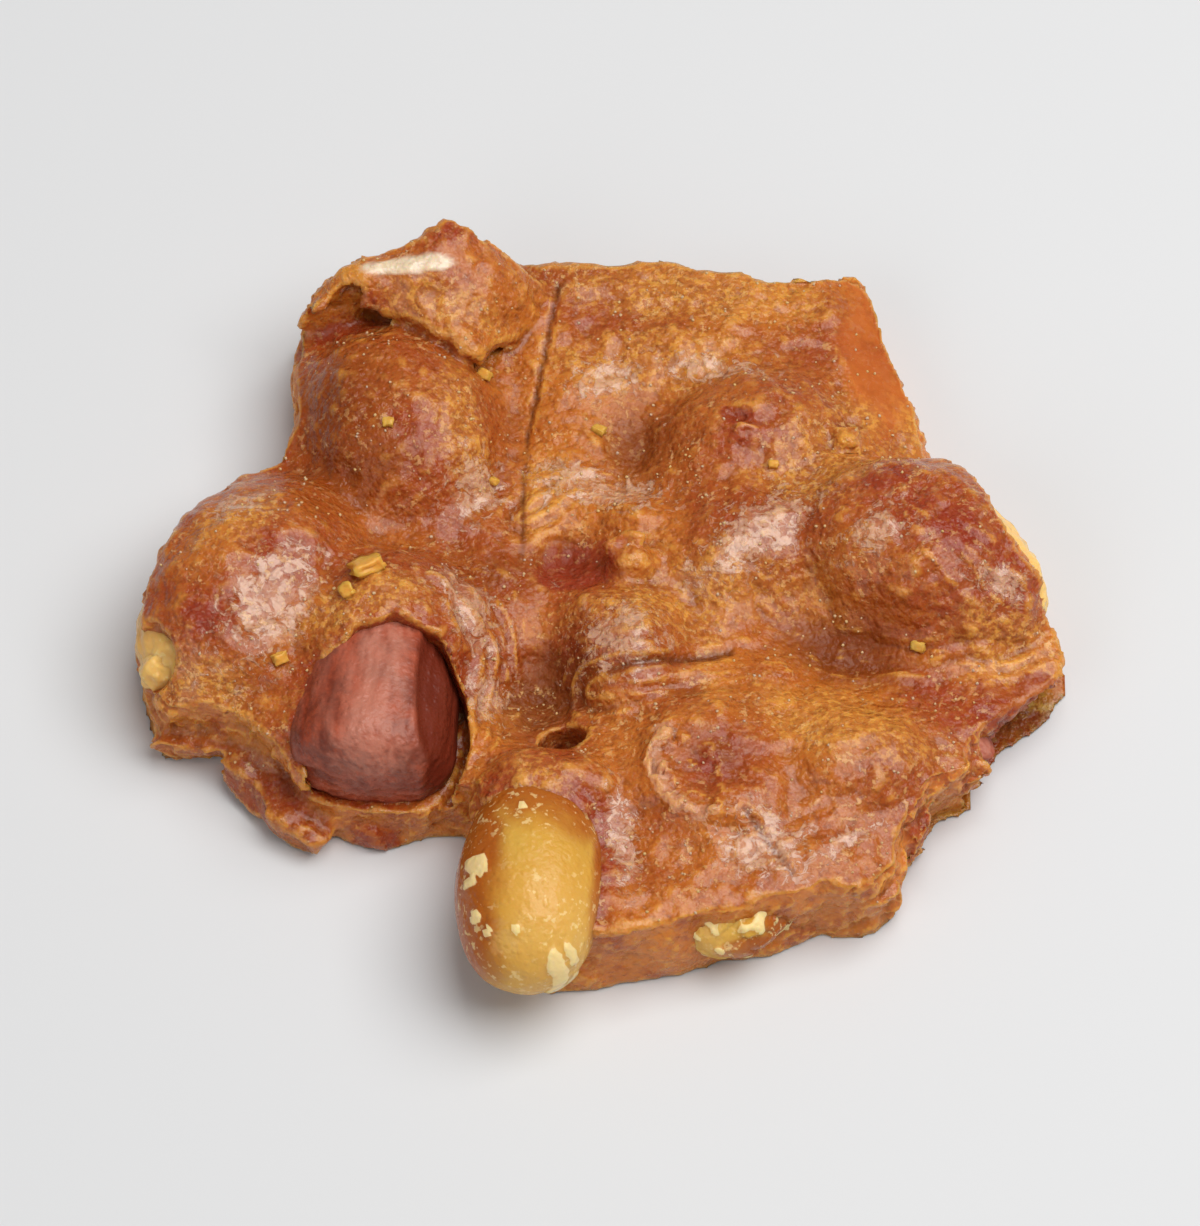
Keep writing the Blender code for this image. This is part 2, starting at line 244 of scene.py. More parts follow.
@dataclass(frozen=True)
class Burst:
    """A burst blister: middle, radius, the stretch of its rim that has a crumbly lip in degrees, and heights."""

    middle: tuple
    radius: float
    start: float
    end: float
    lip: float
    bowl: float


BURST = Burst((7.5, -12.5), 3.9, 132, 276, 0.7, 0.5)

# Other bits that stand out of the candy.
CHIPS = (
    Chip((9.8, 11.7, 8.0), (1.9, 1.1, 0.9), (24, 8, -12)),
    Chip((1.1, 3.6, 7.4), (1.1, 0.7, 0.8), (10, 20, 40)),
    Chip((2.5, 4.2, 7.5), (1.6, 0.7, 0.7), (14, 0, -10)),
    Chip((17.2, 12.4, 6.1), (3.6, 1.6, 1.6), (10, 12, 8)),
    Chip((-24.6, -7.3, 1.9), (6.0, 2.6, 3.0), (20, -8, -8)),
    Chip((-20.8, -10.3, 1.6), (4.6, 2.8, 3.0), (-14, 6, -50)),
    Chip((-18.4, -13.3, 1.4), (3.8, 2.4, 2.6), (10, 14, -30)),
    Chip((22.9, -10.6, 2.8), (2.8, 2.6, 3.4), (12, 0, 40)),
    Chip((19.8, -14.8, 2.6), (2.8, 2.2, 3.6), (0, 16, 60)),
    Chip((17.4, -19.2, 2.6), (3.4, 2.2, 3.4), (14, 0, 20)),
)

# Pale crumbs that lie on the candy: place in plan, size and heading.
CRUMBS = (
    ((-14.1, 0.3), (2.0, 1.5, 0.9), 12), ((-15.3, -1.4), (1.0, 0.8, 0.7), 50), ((-19.6, -5.0), (0.9, 0.7, 0.5), 10),
    ((-7.1, 16.9), (0.9, 0.8, 0.6), 30), ((0.3, 13.4), (0.8, 0.6, 0.4), 60), ((-13.0, 11.6), (0.7, 0.6, 0.4), 0),
    ((20.4, -2.8), (0.9, 0.6, 0.4), 15), ((11.4, 9.6), (0.6, 0.5, 0.4), 40), ((-6.4, 9.4), (0.6, 0.5, 0.4), 80),
)
GRAIN_COUNT = 1800
GRAIN_SEED = 11
GRAIN_FIELD = ((-28, -24), (29, 26))
GRAIN_RADII = (0.05, 0.12)

# Where pale highlights are painted on the candy, with a raised coat: place in plan, size and heading, as for the
# patches below.
PAINTED_HIGHLIGHTS = (
    ((-20.2, -1.8), (8.4, 4.6), 56), ((-22.2, 5.4), (3.4, 2.0), 30), ((10.4, 4.6), (8.0, 3.8), 38),
    ((1.6, -3.4), (4.8, 4.4), 0), ((10.6, -18.0), (5.6, 4.0), -10), ((1.8, -17.5), (1.8, 6.4), 8),
    ((7.4, 17.6), (6.6, 1.6), -14), ((0.6, 17.2), (4.4, 2.6), 24), ((0.4, 9.0), (8.0, 2.8), -16),
    ((18.0, 3.4), (4.0, 3.0), 30), ((25.8, 0.4), (3.6, 2.0), -6), ((-8.0, -1.0), (3.4, 6.6), 20),
    ((-6.6, -6.4), (2.6, 3.6), 0), ((-7.4, 8.4), (4.0, 3.4), 60), ((15.6, -17.4), (4.4, 1.4), 34),
)

# Where the candy is redder. The last patch, on the back of the flake, is painted shade.
REDS = (
    ((9.3, 11.4), (4.8, 4.4), 0), ((-1.0, 3.0), (6.4, 6.4), 0), ((-10.5, 11.0), (6.0, 7.0), 0),
    ((21.0, 4.6), (11.0, 8.0), -28), ((8.0, -12.4), (6.6, 6.6), 0), ((-1.0, -3.4), (3.0, 3.0), 0),
    ((-24.0, -2.6), (6.0, 6.0), 0), ((-20.4, 1.6), (5.4, 5.4), 0), ((-19.0, -12.0), (6.0, 3.0), -30),
    ((25.0, -8.0), (4.4, 5.0), 0), ((21.0, -14.6), (3.4, 6.0), -40), ((-14.6, -2.0), (7.0, 4.0), 0),
    ((28.4, -5.0), (5.0, 4.6), 0), ((-9.6, 25.0), (6.4, 2.0), 12),
)

# Where it is a deep, dark red: partly the candy's own red, partly painted shade in recesses and under the flake.
MAROONS_AND_SHADE = (
    ((-1.1, 3.2), (6.0, 5.6), 20), ((9.0, 13.0), (2.6, 1.8), -10), ((7.2, -12.4), (1.6, 1.8), 0),
    ((27.6, -5.6), (4.4, 3.0), 40), ((26.0, -7.0), (6.0, 4.6), -20), ((-15.6, 20.3), (6.4, 1.8), 8),
    ((23.0, 3.4), (4.6, 3.6), -28), ((18.4, 7.4), (4.0, 2.6), 20), ((-24.6, -2.8), (2.6, 2.2), 0),
    ((-13.0, -14.6), (8.0, 1.6), 0), ((22.0, -15.0), (3.0, 5.0), -40),
)

# Where it is golden.
GOLDS = (
    ((-9.8, 20.4), (9.0, 3.4), -10), ((-8.2, 12.0), (4.0, 9.0), 10), ((6.0, 23.4), (22.0, 5.0), -4),
    ((-14.6, -2.0), (9.0, 3.4), 20), ((-24.0, -6.4), (9.0, 3.0), -24), ((7.0, 0.4), (16.0, 7.0), 10),
    ((26.4, -3.4), (9.0, 6.0), -20), ((15.5, 10.6), (8.0, 6.0), -30), ((-22.0, 4.6), (6.0, 4.0), 30),
    ((4.0, 18.6), (14.0, 6.0), 0), ((17.2, 14.0), (3.0, 4.0), 20), ((-3.4, -14.0), (4.0, 4.0), 0),
    ((16.0, -9.0), (14.0, 6.0), -20), ((-3.4, 8.6), (4.0, 8.0), 0), ((12.6, 9.0), (6.0, 5.0), -30),
    ((20.8, 13.2), (3.0, 7.0), 16),
)

# A painted highlight: a pale strip along the flake's fold.
FLAKE_HIGHLIGHT = ((-11.6, 22.7), (7.2, 1.5), 5)

# Where it is browner, with how strongly: partly the candy's own tone, partly painted shade on shaded flanks and in
# valleys.
BROWNS_AND_SHADE = (
    (((-16.6, 13.0), (7.0, 12.0), -14), 0.75), (((2.4, 12.2), (8.0, 6.0), 75), 0.6),
    (((-5.4, 2.6), (9.0, 4.6), 10), 0.6), (((16.0, -2.8), (9.0, 5.0), -20), 1.0),
    (((-13.4, 9.0), (8.0, 4.0), 20), 0.45), (((7.6, -12.0), (5.0, 4.8), 0), 0.6),
    (((-18.0, -3.6), (3.0, 5.0), 30), 0.4),
)

# The kernels that show, under the names of the frame's nodes that they stand for.
KERNELS = {oval.name: oval for oval in (
    Oval("peanut_bare_front", (-3.9, -19.5, 5.4), (16.8, 9.5, 8.8), 86.7),
    Oval("peanut_skin_front", (-13.4, -6.3, 5.3), (14.6, 10.6, 8.8), 84),
    Oval("peanut_left_end", (-23.2, 0.5, 4.9), (15.0, 9.6, 7.6), 53),
    Oval("peanut_right_end", (21.6, 3.9, 5.0), (15.6, 10.6, 8.0), -28),
    Oval("peanut_skin_notch", (21.8, -7.5, 3.3), (8.4, 5.8, 4.4), -32),
    Oval("peanut_fragment", (9.1, -21.2, 3.2), (7.4, 5.0, 4.0), 16),
)}

# The broken germ end of the left kernel, bare at the tip.
LEFT_NUB = Oval("left_nub", (-27.3, -4.5, 5.2), (3.2, 3.2, 3.8), 0)

# How many faces a kernel has around and along: in the frame's solids, and in the pieces that are seen.
FRAME_FACES = (18, 11)
FINE_FACES = (128, 80)

# Creases and cracks in the candy's top.
RIDGES = (
    Ridge(((1.3, -6.6), (3.2, -6.3), (6.3, -5.2), (9.3, -4.3), (12.0, -4.4)), 0.9, 0.35),
    Ridge(((1.2, -5.6), (3.2, -5.2), (6.3, -4.1), (8.6, -3.3)), 0.28, -0.30),
    Ridge(((-2.2, 24.2), (-3.2, 18.5), (-4.2, 13.2)), 0.17, -0.22),
    Ridge(((-4.2, 13.2), (-4.5, 6.5), (-4.6, 2.5)), 0.12, -0.08),
    Ridge(((9.4, -15.8), (12.4, -20.0)), 0.18, -0.16),
)

# Where the skin of the candy is wrinkled: a line, how far to its sides, and how high.
WRINKLES = (
    (((0.2, -6.4), (3.2, -6.2), (6.3, -5.3), (9.3, -4.4), (12.4, -4.0)), 2.3, 0.32),
    (((10.0, 1.0), (14.0, -2.6), (20.0, -3.6), (28.0, -2.4)), 3.0, 0.22),
    (((-8.0, -8.4), (-6.6, -3.6), (-7.6, 0.6)), 2.6, 0.26),
    (((-4.6, 6.6), (-1.0, 9.4), (3.6, 8.4)), 1.6, 0.30),
    (((16.0, 8.6), (20.6, 4.4), (26.0, -0.6)), 4.4, 0.20),
    (((9.6, -18.6), (14.0, -16.8), (18.6, -14.4)), 1.8, 0.18),
)

# Pale chipped spots on the bare kernel: place in plan and radius.
KERNEL_SPOTS = (
    (-7.3, -20.2, 0.7), (-7.0, -21.0, 0.6), (-7.5, -21.6, 0.5), (-7.3, -24.0, 0.4), (-4.8, -25.2, 0.4),
    (-2.2, -26.6, 0.7), (-1.4, -25.9, 0.5), (-4.4, -16.6, 0.3), (-6.6, -25.0, 0.3),
)

# The stage, in metres: the table's reach, the camera, and the room's light.
TABLE_REACH = 1.5
TABLE_COLOUR = (0.705, 0.714, 0.727, 1)
CAMERA_LENS = 280
CAMERA_SENSOR = 36
CAMERA_AWAY = 0.60
ROOM_COLOUR = (1.0, 0.99, 0.98, 1)
ROOM_STRENGTH = 0.18


@dataclass(frozen=True)
class Lamp:
    """A square light: its heading and height in degrees, how far off, how wide, how strong, and its colour."""

    name: str
    direction: tuple
    distance: float
    size: float
    power: float
    colour: tuple


LAMPS = (
    Lamp("key", (82, 68), 0.5, 0.46, 2.9, (1.0, 0.99, 0.975)),
    Lamp("fill", (-138, 36), 0.8, 0.5, 1.15, (1.0, 0.99, 0.98)),
)


# ---------------------------------------------------------------- shapes


def kernel(bm, oval, faces):
    """Adds a peanut kernel: a blunt oval, slimmer at its germ end, which ends in a small point."""
    length, width, height = (side / 2 for side in oval.size)
    around, along = faces
    made = bmesh.ops.create_uvsphere(bm, u_segments=around, v_segments=along, radius=1)["verts"]
    for vert in made:
        across, up, t = vert.co
        slim = 1.0 - 0.09 * t
        vert.co.x = length * (t * (1.08 - 0.12 * t * t) + 0.06 * max(0.0, t) ** 10)
        vert.co.y = width * across * slim
        vert.co.z = height * up * slim
    place_oval(bm, made, oval)
    return made


def oval_matrix(oval):
    """Takes an oval's own axes to its place and heading."""
    return Matrix.Translation(oval.middle) @ Matrix.Rotation(math.radians(oval.heading), 4, "Z")


def place_oval(bm, verts, oval):
    bmesh.ops.transform(bm, matrix=oval_matrix(oval), verts=verts)
    bmesh.ops.recalc_face_normals(bm, faces=bm.faces)


def swell(bm, oval):
    """Adds a plain ellipsoid."""
    made = bmesh.ops.create_uvsphere(bm, u_segments=56, v_segments=32, radius=0.5)["verts"]
    bmesh.ops.scale(bm, verts=made, vec=oval.size)
    place_oval(bm, made, oval)


def frame_shift():
    """How far the frame has moved the design: read off the bare front kernel's box."""
    bm = bmesh.new()
    made = kernel(bm, KERNELS["peanut_bare_front"], FRAME_FACES)
    low = Vector(min(vert.co[axis] for vert in made) for axis in range(3))
    bm.free()
    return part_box("peanut_bare_front")[0] / MM - low


SHIFT = frame_shift()


def new_object(name, bm, material=None):
    """A smooth shaded object from a bmesh, which it uses up."""
    mesh = bpy.data.meshes.new(name)
    bm.to_mesh(mesh)
    bm.free()
    obj = bpy.data.objects.new(name, mesh)
    bpy.context.scene.collection.objects.link(obj)
    mesh.shade_smooth()
    if material:
        mesh.materials.append(material)
    return obj


def bake_modifiers(obj):
    """Applies an object's modifiers."""
    graph = bpy.context.evaluated_depsgraph_get()
    mesh = bpy.data.meshes.new_from_object(obj.evaluated_get(graph), depsgraph=graph)
    old, obj.data = obj.data, mesh
    obj.modifiers.clear()
    bpy.data.meshes.remove(old)


def settle(obj, body="root"):
    """Takes a finished piece from millimetres to true size in the frame, and lets it ride on a body."""
    obj.data.transform(Matrix.Scale(MM, 4) @ Matrix.Translation(SHIFT))
    obj.data.update()
    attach(obj, body)


def spaced(corners, step):
    """Places about a step apart along a closed outline."""
    points = []
    for start, end in zip(corners, corners[1:] + corners[:1]):
        start, end = Vector(start), Vector(end)
        count = max(1, round((end - start).length / step))
        points += [start.lerp(end, i / count) for i in range(count)]
    return points


def slab(name, points, thickness):
    """A closed slab of an outline in plan, from z = 0 up, as a bmesh."""
    curve = bpy.data.curves.new(name, "CURVE")
    curve.dimensions = "2D"
    curve.fill_mode = "BOTH"
    curve.extrude = thickness / 2
    spline = curve.splines.new("POLY")
    spline.points.add(len(points) - 1)
    for point, place in zip(spline.points, points):
        point.co = (*place, 0.0, 1.0)
    spline.use_cyclic_u = True
    outline = bpy.data.objects.new(name, curve)
    bpy.context.scene.collection.objects.link(outline)
    graph = bpy.context.evaluated_depsgraph_get()
    bm = bmesh.new()
    bm.from_mesh(bpy.data.meshes.new_from_object(outline.evaluated_get(graph)))
    bpy.data.objects.remove(outline)
    bmesh.ops.remove_doubles(bm, verts=bm.verts, dist=0.01)
    bmesh.ops.translate(bm, verts=bm.verts, vec=(0, 0, thickness / 2))
    bmesh.ops.recalc_face_normals(bm, faces=bm.faces)
    bm.normal_update()
    level = [e for e in bm.edges if all(abs(f.normal.z) > 0.9 for f in e.link_faces)]
    bmesh.ops.dissolve_edges(bm, edges=level)
    return bm


def tool(name, bm):
    """A solid of triangles to join with the candy or to cut it with."""
    bmesh.ops.triangulate(bm, faces=bm.faces)
    return new_object(name, bm)


def broken_wall():
    """The solid that the sheet is broken to, with rough glassy walls."""
    bm = slab("broken_wall", spaced(OUTLINE, 0.7), WALL_HEIGHT)
    bmesh.ops.translate(bm, verts=bm.verts, vec=(0, 0, WALL_BOTTOM))
    upright = [e for e in bm.edges if abs(e.verts[0].co.z - e.verts[1].co.z) > WALL_HEIGHT / 2]
    bmesh.ops.subdivide_edges(bm, edges=upright, cuts=24, use_grid_fill=True)
    bm.normal_update()
    outward = {}
    for vert in bm.verts:
        sides = [f.normal for f in vert.link_faces if abs(f.normal.z) < 0.5]
        outward[vert] = sum(sides, Vector()).normalized()
    for vert, direction in outward.items():
        lean = WALL_LEAN * max(0.0, 1.0 - vert.co.z / SHEET_THICKNESS)
        rough = 0.65 * noise.noise(vert.co / 3.2) + 0.22 * noise.noise(vert.co / 1.1)
        vert.co += direction * (lean + rough - 0.15)
    return tool("broken_wall", bm)


def turn_and_place(bm, verts, turn, middle):
    """Turns some of a bmesh about X, Y and Z in degrees, and moves it to its place."""
    for angle, axis in zip(turn, "XYZ"):
        bmesh.ops.rotate(bm, verts=verts, cent=(0, 0, 0), matrix=Matrix.Rotation(math.radians(angle), 3, axis))
    bmesh.ops.translate(bm, verts=verts, vec=middle)


def box_object(name, size, middle, turn=(0, 0, 0)):
    bm = bmesh.new()
    bmesh.ops.create_cube(bm, size=1.0)
    bmesh.ops.scale(bm, verts=bm.verts, vec=size)
    turn_and_place(bm, bm.verts, turn, middle)
    return new_object(name, bm)


def window():
    """The upright cutter that bares the front of the skinned kernel, with a ragged outline."""
    bm = slab("window", spaced(WINDOW, 0.8), WALL_HEIGHT)
    bmesh.ops.translate(bm, verts=bm.verts, vec=(0, 0, WINDOW_SILL))
    for vert in bm.verts:
        vert.co.xy += 0.35 * noise.noise_vector(Vector((vert.co.x, vert.co.y, 0)) / 1.6).xy
    return tool("window", bm)


def skin_cup():
    """The low rim of candy that cups the skinned kernel."""
    oval = KERNELS["peanut_skin_front"]
    rim = []
    for turn in np.linspace(0, 2 * math.pi, 40, endpoint=False):
        along, across = math.cos(turn), math.sin(turn)
        square = (abs(along) ** 4 + abs(across) ** 4) ** -0.25 if along < 0 else 1.0
        rim.append(Vector(((oval.size[0] / 2 + 0.25) * along * square, (oval.size[1] / 2 + 0.1) * across * square)))
    bm = slab("skin_cup", rim, CUP_HEIGHT)
    bmesh.ops.transform(bm, matrix=oval_matrix(oval), verts=bm.verts)
    bmesh.ops.translate(bm, verts=bm.verts, vec=(0, 0, 0.4 - oval.middle[2]))
    for vert in bm.verts:
        vert.co.z += 0.5 * noise.noise(vert.co / 2.2)
    return tool("skin_cup", bm)


def flake():
    """A thin folded flake, thickened downwards."""
    bm = bmesh.new()
    rows = [[bm.verts.new(corner) for corner in row] for row in FLAKE_ROWS]
    for back, front in zip(rows, rows[1:]):
        for column in range(len(back) - 1):
            bm.faces.new((back[column], front[column], front[column + 1], back[column + 1]))
    bmesh.ops.subdivide_edges(bm, edges=bm.edges[:], cuts=3, smooth=1.0, use_grid_fill=True)
    for vert in bm.verts:
        rough = 0.4 if vert.is_boundary else 0.12
        vert.co += rough * noise.noise_vector(vert.co / 0.9)
    under = bmesh.ops.extrude_face_region(bm, geom=bm.faces[:])["geom"]
    low = [item for item in under if isinstance(item, bmesh.types.BMVert)]
    bmesh.ops.translate(bm, verts=low, vec=(0, 0, -FLAKE_THICKNESS))
    bmesh.ops.recalc_face_normals(bm, faces=bm.faces)
    return tool("flake", bm)


def broken_bit(bm, chip, seed=0.0):
    """Adds one block with rounded, chipped corners, whose shape goes by its seed."""
    start = len(bm.verts)
    made = bmesh.ops.create_cube(bm, size=1.0)["verts"]
    edges = list({edge for vert in made for edge in vert.link_edges})
    bmesh.ops.subdivide_edges(bm, edges=edges, cuts=4, use_grid_fill=True)
    bm.verts.ensure_lookup_table()
    made = bm.verts[start:]
    for vert in made:
        vert.co *= 1.0 - 0.3 * max(0.0, vert.co.length - 0.55)
        shift = Vector((seed * 3.1 + 0.37, seed, 0.61))
        vert.co += 0.20 * noise.noise_vector(vert.co * 2.3 + shift) + 0.09 * noise.noise_vector(vert.co * 6 + shift)
    bmesh.ops.scale(bm, verts=made, vec=chip.size)
    turn_and_place(bm, made, chip.turn, chip.middle)


def chip_objects():
    for number, chip in enumerate(CHIPS):
        bm = bmesh.new()
        broken_bit(bm, chip, number)
        yield new_object("chip", bm)


def boolean(obj, operation, other):
    """Joins an object with another, or cuts it."""
    modifier = obj.modifiers.new("cut", "BOOLEAN")
    modifier.operation = operation
    modifier.solver = "MANIFOLD"
    modifier.object = other


def voxel_melt(obj, voxel, steps):
    """Melts an object's parts into one skin of even faces, and smooths it."""
    voxels = obj.modifiers.new("voxels", "REMESH")
    voxels.mode = "VOXEL"
    voxels.voxel_size = voxel
    voxels.use_smooth_shade = True
    if steps:
        soften = obj.modifiers.new("soften", "SMOOTH")
        soften.factor = 0.5
        soften.iterations = steps


def mesh_arrays(mesh):
    """The places and the normals of a mesh's vertices."""
    count = len(mesh.vertices)
    places = np.empty(count * 3, np.float32)
    normals = np.empty(count * 3, np.float32)
    mesh.vertices.foreach_get("co", places)
    mesh.vertices.foreach_get("normal", normals)
    return places.reshape(-1, 3).astype(float), normals.reshape(-1, 3).astype(float)


def put_places(mesh, places):
    mesh.vertices.foreach_set("co", places.astype(np.float32).ravel())
    mesh.update()


def put_mask(mesh, name, values):
    """Stores a mask from 0 to 1 on a mesh for its material."""
    layer = mesh.attributes.get(name) or mesh.attributes.new(name, "FLOAT", "POINT")
    layer.data.foreach_set("value", np.clip(values, 0.0, 1.0).astype(np.float32))


def grain(places, size, seed=0.0):
    """Smooth noise from about -1 to 1, with lumps of about this size."""
    offset = Vector((seed * 17.3, seed * 7.1, seed * 3.7))
    return np.array([noise.noise(Vector(place) / size + offset) for place in places])


def soft_step(values, start, end):
    """0 below start, 1 above end, soft between."""
    share = np.clip((values - start) / (end - start), 0.0, 1.0)
    return share * share * (3 - 2 * share)


def oval_distance(places, oval, shrink=0.0):
    """About how far each place is outside an ellipsoid."""
    inverse = np.array(oval_matrix(oval).inverted())
    local = places @ inverse[:3, :3].T + inverse[:3, 3]
    radii = np.array(oval.size) / 2 - shrink
    near = np.linalg.norm(local / radii, axis=1)
    slope = np.linalg.norm(local / radii**2, axis=1)
    return near * (near - 1) / np.maximum(slope, 1e-6)


def line_distance(plan, points, closed=False):
    """The distance in plan from each place to a line of straight stretches."""
    corners = np.array(points, float)
    ends = np.roll(corners, -1, axis=0) if closed else corners[1:]
    starts = corners if closed else corners[:-1]
    best = np.full(len(plan), 1e9)
    for start, end in zip(starts, ends):
        run = end - start
        share = np.clip(((plan - start) @ run) / (run @ run), 0, 1)
        best = np.minimum(best, np.linalg.norm(plan - start - share[:, None] * run, axis=1))
    return best


def nearest(places, ovals, shrink=0.0):
    """About how far each place is outside the nearest of several ellipsoids, up to a limit."""
    return np.minimum(FAR, np.min([oval_distance(places, oval, shrink) for oval in ovals], axis=0))


def oval_object(oval):
    bm = bmesh.new()
    swell(bm, oval)
    return new_object(oval.name, bm)


def candy_mesh(sizes):
    """The sheet, poured with its swells, dished, broken to its outline, and with its flake and chips stuck on."""
    bm = bmesh.new()
    bmesh.ops.create_cube(bm, size=1.0)
    bmesh.ops.scale(bm, verts=bm.verts, vec=(SHEET_LENGTH, SHEET_WIDTH, SHEET_THICKNESS + SHEET_BELOW))
    bmesh.ops.translate(bm, verts=bm.verts, vec=(0, 0, (SHEET_THICKNESS - SHEET_BELOW) / 2))
    for oval in RISES:
        swell(bm, oval)
    candy = new_object("candy", bm)
    voxel_melt(candy, 0.45, 34)
    lumps = [oval_object(oval) for oval in LATE_RISES]
    for lump in lumps:
        boolean(candy, "UNION", lump)
    voxel_melt(candy, 0.4, 6)
    bake_modifiers(candy)
    dish_candy(candy)
    wall = broken_wall()
    boolean(candy, "INTERSECT", wall)
    stuck = [flake(), *chip_objects(), oval_object(LAP)]
    for bit in stuck:
        boolean(candy, "UNION", bit)
    cup = skin_cup()
    cut = [oval_object(oval) for oval in HOLES]
    cut.append(box_object("facet", FACET_SIZE, FACET_MIDDLE, FACET_TURN))
    cut.append(box_object("slice", *SLICE))
    cut.append(window())
    cut.append(box_object("below", (2 * SHEET_LENGTH, 2 * SHEET_WIDTH, 20), (0, 0, -10)))
    for cutter in cut:
        boolean(candy, "DIFFERENCE", cutter)
    boolean(candy, "UNION", cup)
    voxel_melt(candy, sizes.candy_detail / MM, 1)
    bake_modifiers(candy)
    for used in lumps + stuck + cut + [wall, cup]:
        bpy.data.objects.remove(used)
    return candy


def dish_candy(candy):
    """Presses the soft hollows into the candy's top."""
    places, normals = mesh_arrays(candy.data)
    top = soft_step(normals[:, 2], 0.0, 0.4)
    for dish in DISHES:
        places[:, 2] -= top * dish.depth * patch_shape(places[:, :2], dish.middle, dish.size, dish.heading)
    put_places(candy.data, places)


def patch_shape(plan, middle, size, heading=0.0):
    """1 at a patch's middle, falling smoothly to 0 around it."""
    turn = math.radians(heading)
    offset = plan - middle
    along = offset @ (math.cos(turn), math.sin(turn)) / (size[0] / 2)
    across = offset @ (-math.sin(turn), math.cos(turn)) / (size[1] / 2)
    return np.exp(-(along**2 + across**2))


def patches(plan, marks):
    """The strongest of several patches at each place."""
    return np.max([patch_shape(plan, *mark) for mark in marks], axis=0)


def flaked(places, size, seed=0.0):
    """Steps like those of a chipped face: one height from about -1 to 1 for each cell of this size."""
    offset = Vector((seed * 5.7, seed * 2.9, seed * 9.1))
    heights = np.empty(len(places))
    for number, place in enumerate(places):
        centre = noise.voronoi(Vector(place) / size + offset)[1][0]
        heights[number] = noise.noise(centre * 7.7)
    return heights


def burst_open(places, top, burst):
    """Presses a burst blister's bowl into the candy and raises its crumbly lip. Gives back where the lip is."""
    offset = places[:, :2] - burst.middle
    scale = burst.radius / 4
    away = (np.linalg.norm(offset, axis=1) + 1.1 * scale * grain(places, 3.0 * scale + 0.4, 21)) / burst.radius
    near = away < 2
    crumbs = np.zeros(len(places))
    crumbs[near] = flaked(places[near], 0.5 + 0.6 * scale, 5)
    away += 0.22 * crumbs
    angle = np.degrees(np.arctan2(offset[:, 1], offset[:, 0])) % 360
    side = soft_step(angle, burst.start - 18, burst.start + 18) * soft_step(-angle, -burst.end - 18, 18 - burst.end)
    crest = np.exp(-(np.maximum(0.88 - away, (away - 0.88) * 1.8) / 0.24) ** 2)
    lip = side * crest * top
    bowl = soft_step(0.95 - away, 0.0, 0.5) * (0.45 + 0.55 * side) * top
    places[:, 2] += burst.lip * lip * (0.8 + 1.5 * crumbs) - burst.bowl * bowl * (1 + 0.6 * crumbs)
    return lip * near


